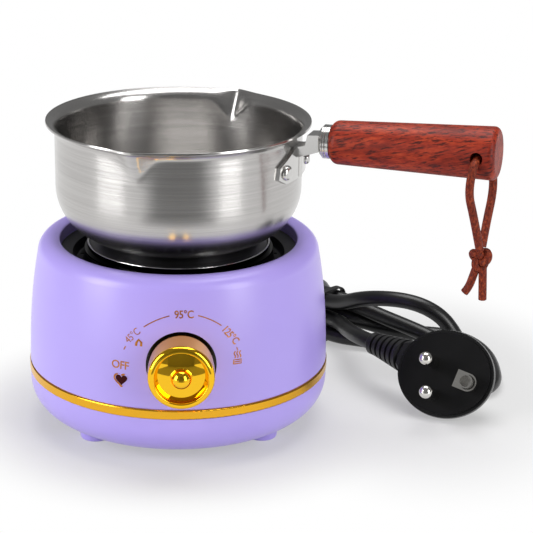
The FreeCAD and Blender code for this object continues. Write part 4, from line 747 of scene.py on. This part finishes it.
def stroke(work, points, width):
    """A flat line of even width through points in the XZ plane."""
    lefts = []
    rights = []
    for i, (x, z) in enumerate(points):
        before = points[max(i - 1, 0)]
        after = points[min(i + 1, len(points) - 1)]
        run = Vector((after[0] - before[0], after[1] - before[1])).normalized()
        side = Vector((-run.y, run.x)) * width / 2
        lefts.append(work.verts.new((x + side.x, 0, z + side.y)))
        rights.append(work.verts.new((x - side.x, 0, z - side.y)))
    for i in range(len(points) - 1):
        work.faces.new((lefts[i], lefts[i + 1], rights[i + 1], rights[i]))


def printed_lines(name, lines, width, tree):
    """Lines in gold print, each through its own points."""
    work = bmesh.new()
    for points in lines:
        stroke(work, points, width)
    mesh = made_mesh(name, work)
    lay_on_shell(mesh, tree)
    keep(name, mesh, GOLD_PRINT, "stove")


def arc_points(start, end, rise, count=10):
    """Points on a shallow arc from start to end that rises between them."""
    points = []
    for i in range(count + 1):
        share = i / count
        x = start[0] + (end[0] - start[0]) * share
        z = start[1] + (end[1] - start[1]) * share
        nx, nz = -(end[1] - start[1]), end[0] - start[0]
        size = math.hypot(nx, nz)
        lift = rise * 4 * share * (1 - share)
        points.append((x + nx / size * lift, z + nz / size * lift))
    return points


def heat_sign():
    """Three waves over a box with a bar across it."""
    waves = []
    for i in range(3):
        x = 0.0217 + 0.00105 * i
        waves.append([(x + 0.00028 * math.sin(k * 1.0), 0.0461 + 0.00040 * k) for k in range(8)])
    left, right, low, high = 0.0212, 0.0243, 0.0438, 0.0454
    box = [(left, low), (right, low), (right, high), (left, high), (left, low)]
    middle = (low + high) / 2
    return waves + [box, [(left, middle), (right, middle)]]


def print_dial():
    """The marks round the knob: words, arcs, a heat sign, a flame and the window's edge."""
    tree = shell_surface()
    printed_text("mark_off", "OFF", (-0.02275, 0.0432), math.radians(-3), 0.0046, tree)
    printed_text("mark_95", "95°C", (0.0020, 0.0648), 0.0, 0.0043, tree)
    printed_text("mark_45", "45°C", (-0.0178, 0.0557), math.radians(46), 0.0040, tree, bold=0.0)
    printed_text("mark_125", "125°C", (0.0199, 0.0556), math.radians(-52), 0.0040, tree)
    printed_lines("mark_arcs", [
        arc_points((-0.0135, 0.0596), (-0.00365, 0.0644), 0.0005),
        arc_points((0.00735, 0.0644), (0.0164, 0.0598), 0.0005),
        [(-0.0213, 0.0498), (-0.0206, 0.0512)],
        [(0.0224, 0.0505), (0.0228, 0.0492)],
    ], ARC_LINE, tree)
    printed_lines("mark_heat", heat_sign(), HEAT_LINE, tree)
    flame = [(FLAME_CENTRE[0] + x, FLAME_CENTRE[1] + z) for x, z in FLAME_POINTS]
    printed_lines("mark_flame", [flame], FLAME_LINE, tree)
    printed_lines("mark_heart_edge", [heart_outline()], HEART_LINE, tree)


def heart_outline():
    """The window's outline as the front shows it, moved outwards by half the printed edge."""
    heart = []
    for i in range(HEART_POINTS):
        turn = 2 * math.pi * i / HEART_POINTS
        across = 16 * math.sin(turn) ** 3
        up = (13 * math.cos(turn) - 5 * math.cos(2 * turn) - 2 * math.cos(3 * turn)
              - math.cos(4 * turn) + 2.5)
        heart.append(Vector((across, up)) * HEART_SCALE)
    edge = []
    for i in range(HEART_POINTS + 1):
        here = heart[i % HEART_POINTS]
        run = (heart[(i + 1) % HEART_POINTS] - heart[(i - 1) % HEART_POINTS]).normalized()
        out = here + Vector((-run.y, run.x)) * HEART_OUT
        edge.append((HEART_CENTRE[0] + out.x * HEART_NARROW, HEART_CENTRE[1] + out.y))
    return edge


# The knob's cap

def spin_cap():
    """A shallow domed disc with a ball in its middle, turned about the knob's axis."""
    points = []
    for i in range(CAP_BALL_STEPS + 1):
        turn = math.radians(90 - CAP_BALL_STEP * i)
        points.append((CAP_BALL * math.cos(turn), CAP_BALL_CENTRE + CAP_BALL * math.sin(turn)))
    points = [p for p in points if p[1] > dome_height(p[0]) + 0.0001]
    root = points[-1][0]
    points.append((root + CAP_CREASE_WIDTH, dome_height(root) - CAP_CREASE_DEPTH))
    for i in range(1, CAP_DOME_STEPS + 1):
        radius = root + CAP_DOME_START + (CAP_RADIUS - root - CAP_DOME_START) * i / CAP_DOME_STEPS
        points.append((radius, dome_height(radius)))
    points.append((CAP_RADIUS + 0.00003, dome_height(CAP_RADIUS) - 0.0003))
    work = bmesh.new()
    verts = [work.verts.new((KNOB_AXIS[0] + r, KNOB_FACE - y, KNOB_AXIS[1])) for r, y in points]
    edges = [work.edges.new((one, other)) for one, other in zip(verts, verts[1:])]
    bmesh.ops.spin(work, geom=verts + edges, cent=(KNOB_AXIS[0], 0, KNOB_AXIS[1]), axis=(0, 1, 0),
                   angle=2 * math.pi, steps=CAP_ROUNDS, use_merge=True)
    bmesh.ops.remove_doubles(work, verts=work.verts, dist=1e-7)
    bmesh.ops.holes_fill(work, edges=[e for e in work.edges if e.is_boundary], sides=0)
    bmesh.ops.recalc_face_normals(work, faces=work.faces)
    for face in work.faces:
        face.smooth = len(face.verts) < 5
    cap = keep("knob_cap_spun", made_mesh("knob_cap_spun", work), GOLD_MIRROR, "knob")
    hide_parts("knob_cap")


def dome_height(radius):
    """The disc's place in front of the knob's face, below zero because it is set back."""
    return -DOME_SET_BACK - DOME_DROP * (radius / DOME_RADIUS) ** 2


# Studio

def set_camera():
    """The camera looks down and a little to the right, and isn't rolled."""
    level = Vector((0, math.cos(CAMERA_DOWN), -math.sin(CAMERA_DOWN)))
    up = Vector((0, math.sin(CAMERA_DOWN), math.cos(CAMERA_DOWN)))
    right = Vector((1, 0, 0))
    ahead = level * math.cos(CAMERA_RIGHT) + right * math.sin(CAMERA_RIGHT)
    side = right * math.cos(CAMERA_RIGHT) - level * math.sin(CAMERA_RIGHT)
    lens = bpy.data.cameras.new("camera")
    lens.lens = CAMERA_LENS
    lens.sensor_width = SENSOR_WIDTH
    lens.clip_end = 20
    camera = bpy.data.objects.new("camera", lens)
    camera.matrix_world = Matrix((
        (side.x, up.x, -ahead.x, CAMERA_PLACE.x),
        (side.y, up.y, -ahead.y, CAMERA_PLACE.y),
        (side.z, up.z, -ahead.z, CAMERA_PLACE.z),
        (0, 0, 0, 1)))
    bpy.context.collection.objects.link(camera)
    bpy.context.scene.camera = camera


def soft_lamp(name, place, target, width, height, watts):
    """A rectangular lamp at a place that shines on a target."""
    light = bpy.data.lights.new(name, "AREA")
    light.shape = "RECTANGLE"
    light.size = width
    light.size_y = height
    light.energy = watts
    lamp = bpy.data.objects.new(name, light)
    lamp.location = place
    lamp.rotation_euler = (Vector(target) - Vector(place)).to_track_quat("-Z", "Y").to_euler()
    bpy.context.collection.objects.link(lamp)


def white(nodes, kind, strength):
    """An even white light or background of that strength."""
    light = nodes.new(kind)
    light.inputs[0].default_value = (1, 1, 1, 1)
    light.inputs[1].default_value = strength
    return light


def seen_direct(nodes, links):
    """One for what the camera or a reflection sees, and nothing for light that only fills."""
    rays = nodes.new("ShaderNodeLightPath")
    either = nodes.new("ShaderNodeMath")
    either.operation = "MAXIMUM"
    links.new(rays.outputs["Is Camera Ray"], either.inputs[0])
    links.new(rays.outputs["Is Glossy Ray"], either.inputs[1])
    return either


def painted_glow_away_from(finish, centre, narrow, start, end):
    """The mask of the floor's painted glow: nothing near a place on the floor and one away from it, with a
    soft edge.
    """
    spot = finish.place((1, narrow, 1), shift=(-centre[0], -centre[1] * narrow, 0))
    away = finish.node("ShaderNodeVectorMath", {"operation": "LENGTH"}, {0: spot}, output=1)
    return finish.node("ShaderNodeMapRange", {"interpolation_type": "SMOOTHSTEP"},
                       {0: away, 1: start, 2: end})


def lay_floor():
    """A white floor with a painted glow for the camera and reflections, weaker near the stove and the hank so
    that it is darker there and their shadows show.
    """
    work = bmesh.new()
    bmesh.ops.create_grid(work, x_segments=1, y_segments=1, size=4)
    mesh = made_mesh("floor", work)
    floor = bpy.data.objects.new("floor", mesh)
    bpy.context.collection.objects.link(floor)
    finish = Finish("floor_white", (0.62, 0.62, 0.62), 0.7)
    nodes = finish.tree.nodes
    links = finish.tree.links
    # Painted glow: the floor glows fully white away from the stove and the hank. Near them it glows only
    # partly, and the lit floor and its shadows show through.
    stove = painted_glow_away_from(finish, centre=(0.0, 0.0), narrow=1.0, start=0.066, end=0.106)
    hank = painted_glow_away_from(finish, centre=(0.105, 0.03), narrow=0.7, start=0.045, end=0.095)
    share = stove * hank * (1 - FLOOR_PAINTED_GLOW_NEAR) + FLOOR_PAINTED_GLOW_NEAR
    direct = Value(finish, seen_direct(nodes, links).outputs[0])
    mixer = nodes.new("ShaderNodeMixShader")
    links.new((share * direct).socket, mixer.inputs[0])
    links.new(finish.shader.outputs[0], mixer.inputs[1])
    links.new(white(nodes, "ShaderNodeEmission", 1.0).outputs[0], mixer.inputs[2])
    links.new(mixer.outputs[0], nodes["Material Output"].inputs[0])
    mesh.materials.append(finish.material)


def light_world():
    """White for the camera, and a weaker fill for everything else."""
    world = bpy.data.worlds.new("studio")
    bpy.context.scene.world = world
    world.use_nodes = True
    nodes = world.node_tree.nodes
    links = world.node_tree.links
    lit = nodes["Background"]
    lit.inputs[0].default_value = (1, 1, 1, 1)
    lit.inputs[1].default_value = WORLD_FILL
    seen = white(nodes, "ShaderNodeBackground", 1.0)
    rays = nodes.new("ShaderNodeLightPath")
    mixer = nodes.new("ShaderNodeMixShader")
    links.new(rays.outputs["Is Camera Ray"], mixer.inputs[0])
    links.new(lit.outputs[0], mixer.inputs[1])
    links.new(seen.outputs[0], mixer.inputs[2])
    links.new(mixer.outputs[0], nodes["World Output"].inputs[0])


def dark_sheet(name, corners):
    """A dark grey sheet that the camera doesn't see and reflections and fill light do."""
    work = bmesh.new()
    work.faces.new([work.verts.new(spot) for spot in corners])
    mesh = made_mesh(name, work)
    sheet = bpy.data.objects.new(name, mesh)
    bpy.context.collection.objects.link(sheet)
    sheet.visible_camera = False
    mesh.materials.append(SCREEN_DARK)


dress_nodes()
spin_bowl()
spin_cap()
lay_lead()
hang_lanyard()
print_dial()

set_camera()
lay_floor()
light_world()
dark_sheet("dark_screen", [
    (-SCREEN_HALF, SCREEN_BACK, 0.0), (SCREEN_HALF, SCREEN_BACK, 0.0),
    (SCREEN_HALF, SCREEN_BACK, SCREEN_TOP), (-SCREEN_HALF, SCREEN_BACK, SCREEN_TOP)])
dark_sheet("dark_front", [
    (-SCREEN_HALF, SCREEN_BACK, CARPET_LIFT), (SCREEN_HALF, SCREEN_BACK, CARPET_LIFT),
    (CARPET_HALF, CARPET_FRONT, CARPET_LIFT), (-CARPET_HALF, CARPET_FRONT, CARPET_LIFT)])
soft_lamp("lamp_left", (-0.90, -0.46, 0.36), (0, 0, 0.08), width=0.50, height=0.80, watts=8.5)
soft_lamp("lamp_right", (0.72, -0.68, 0.36), (0.0, 0, 0.08), width=0.36, height=0.80, watts=6.0)
soft_lamp("lamp_top", (0.10, 0.20, 1.1), (0, 0, 0.05), width=0.9, height=0.7, watts=10.0)
bpy.context.scene.view_settings.view_transform = "Standard"
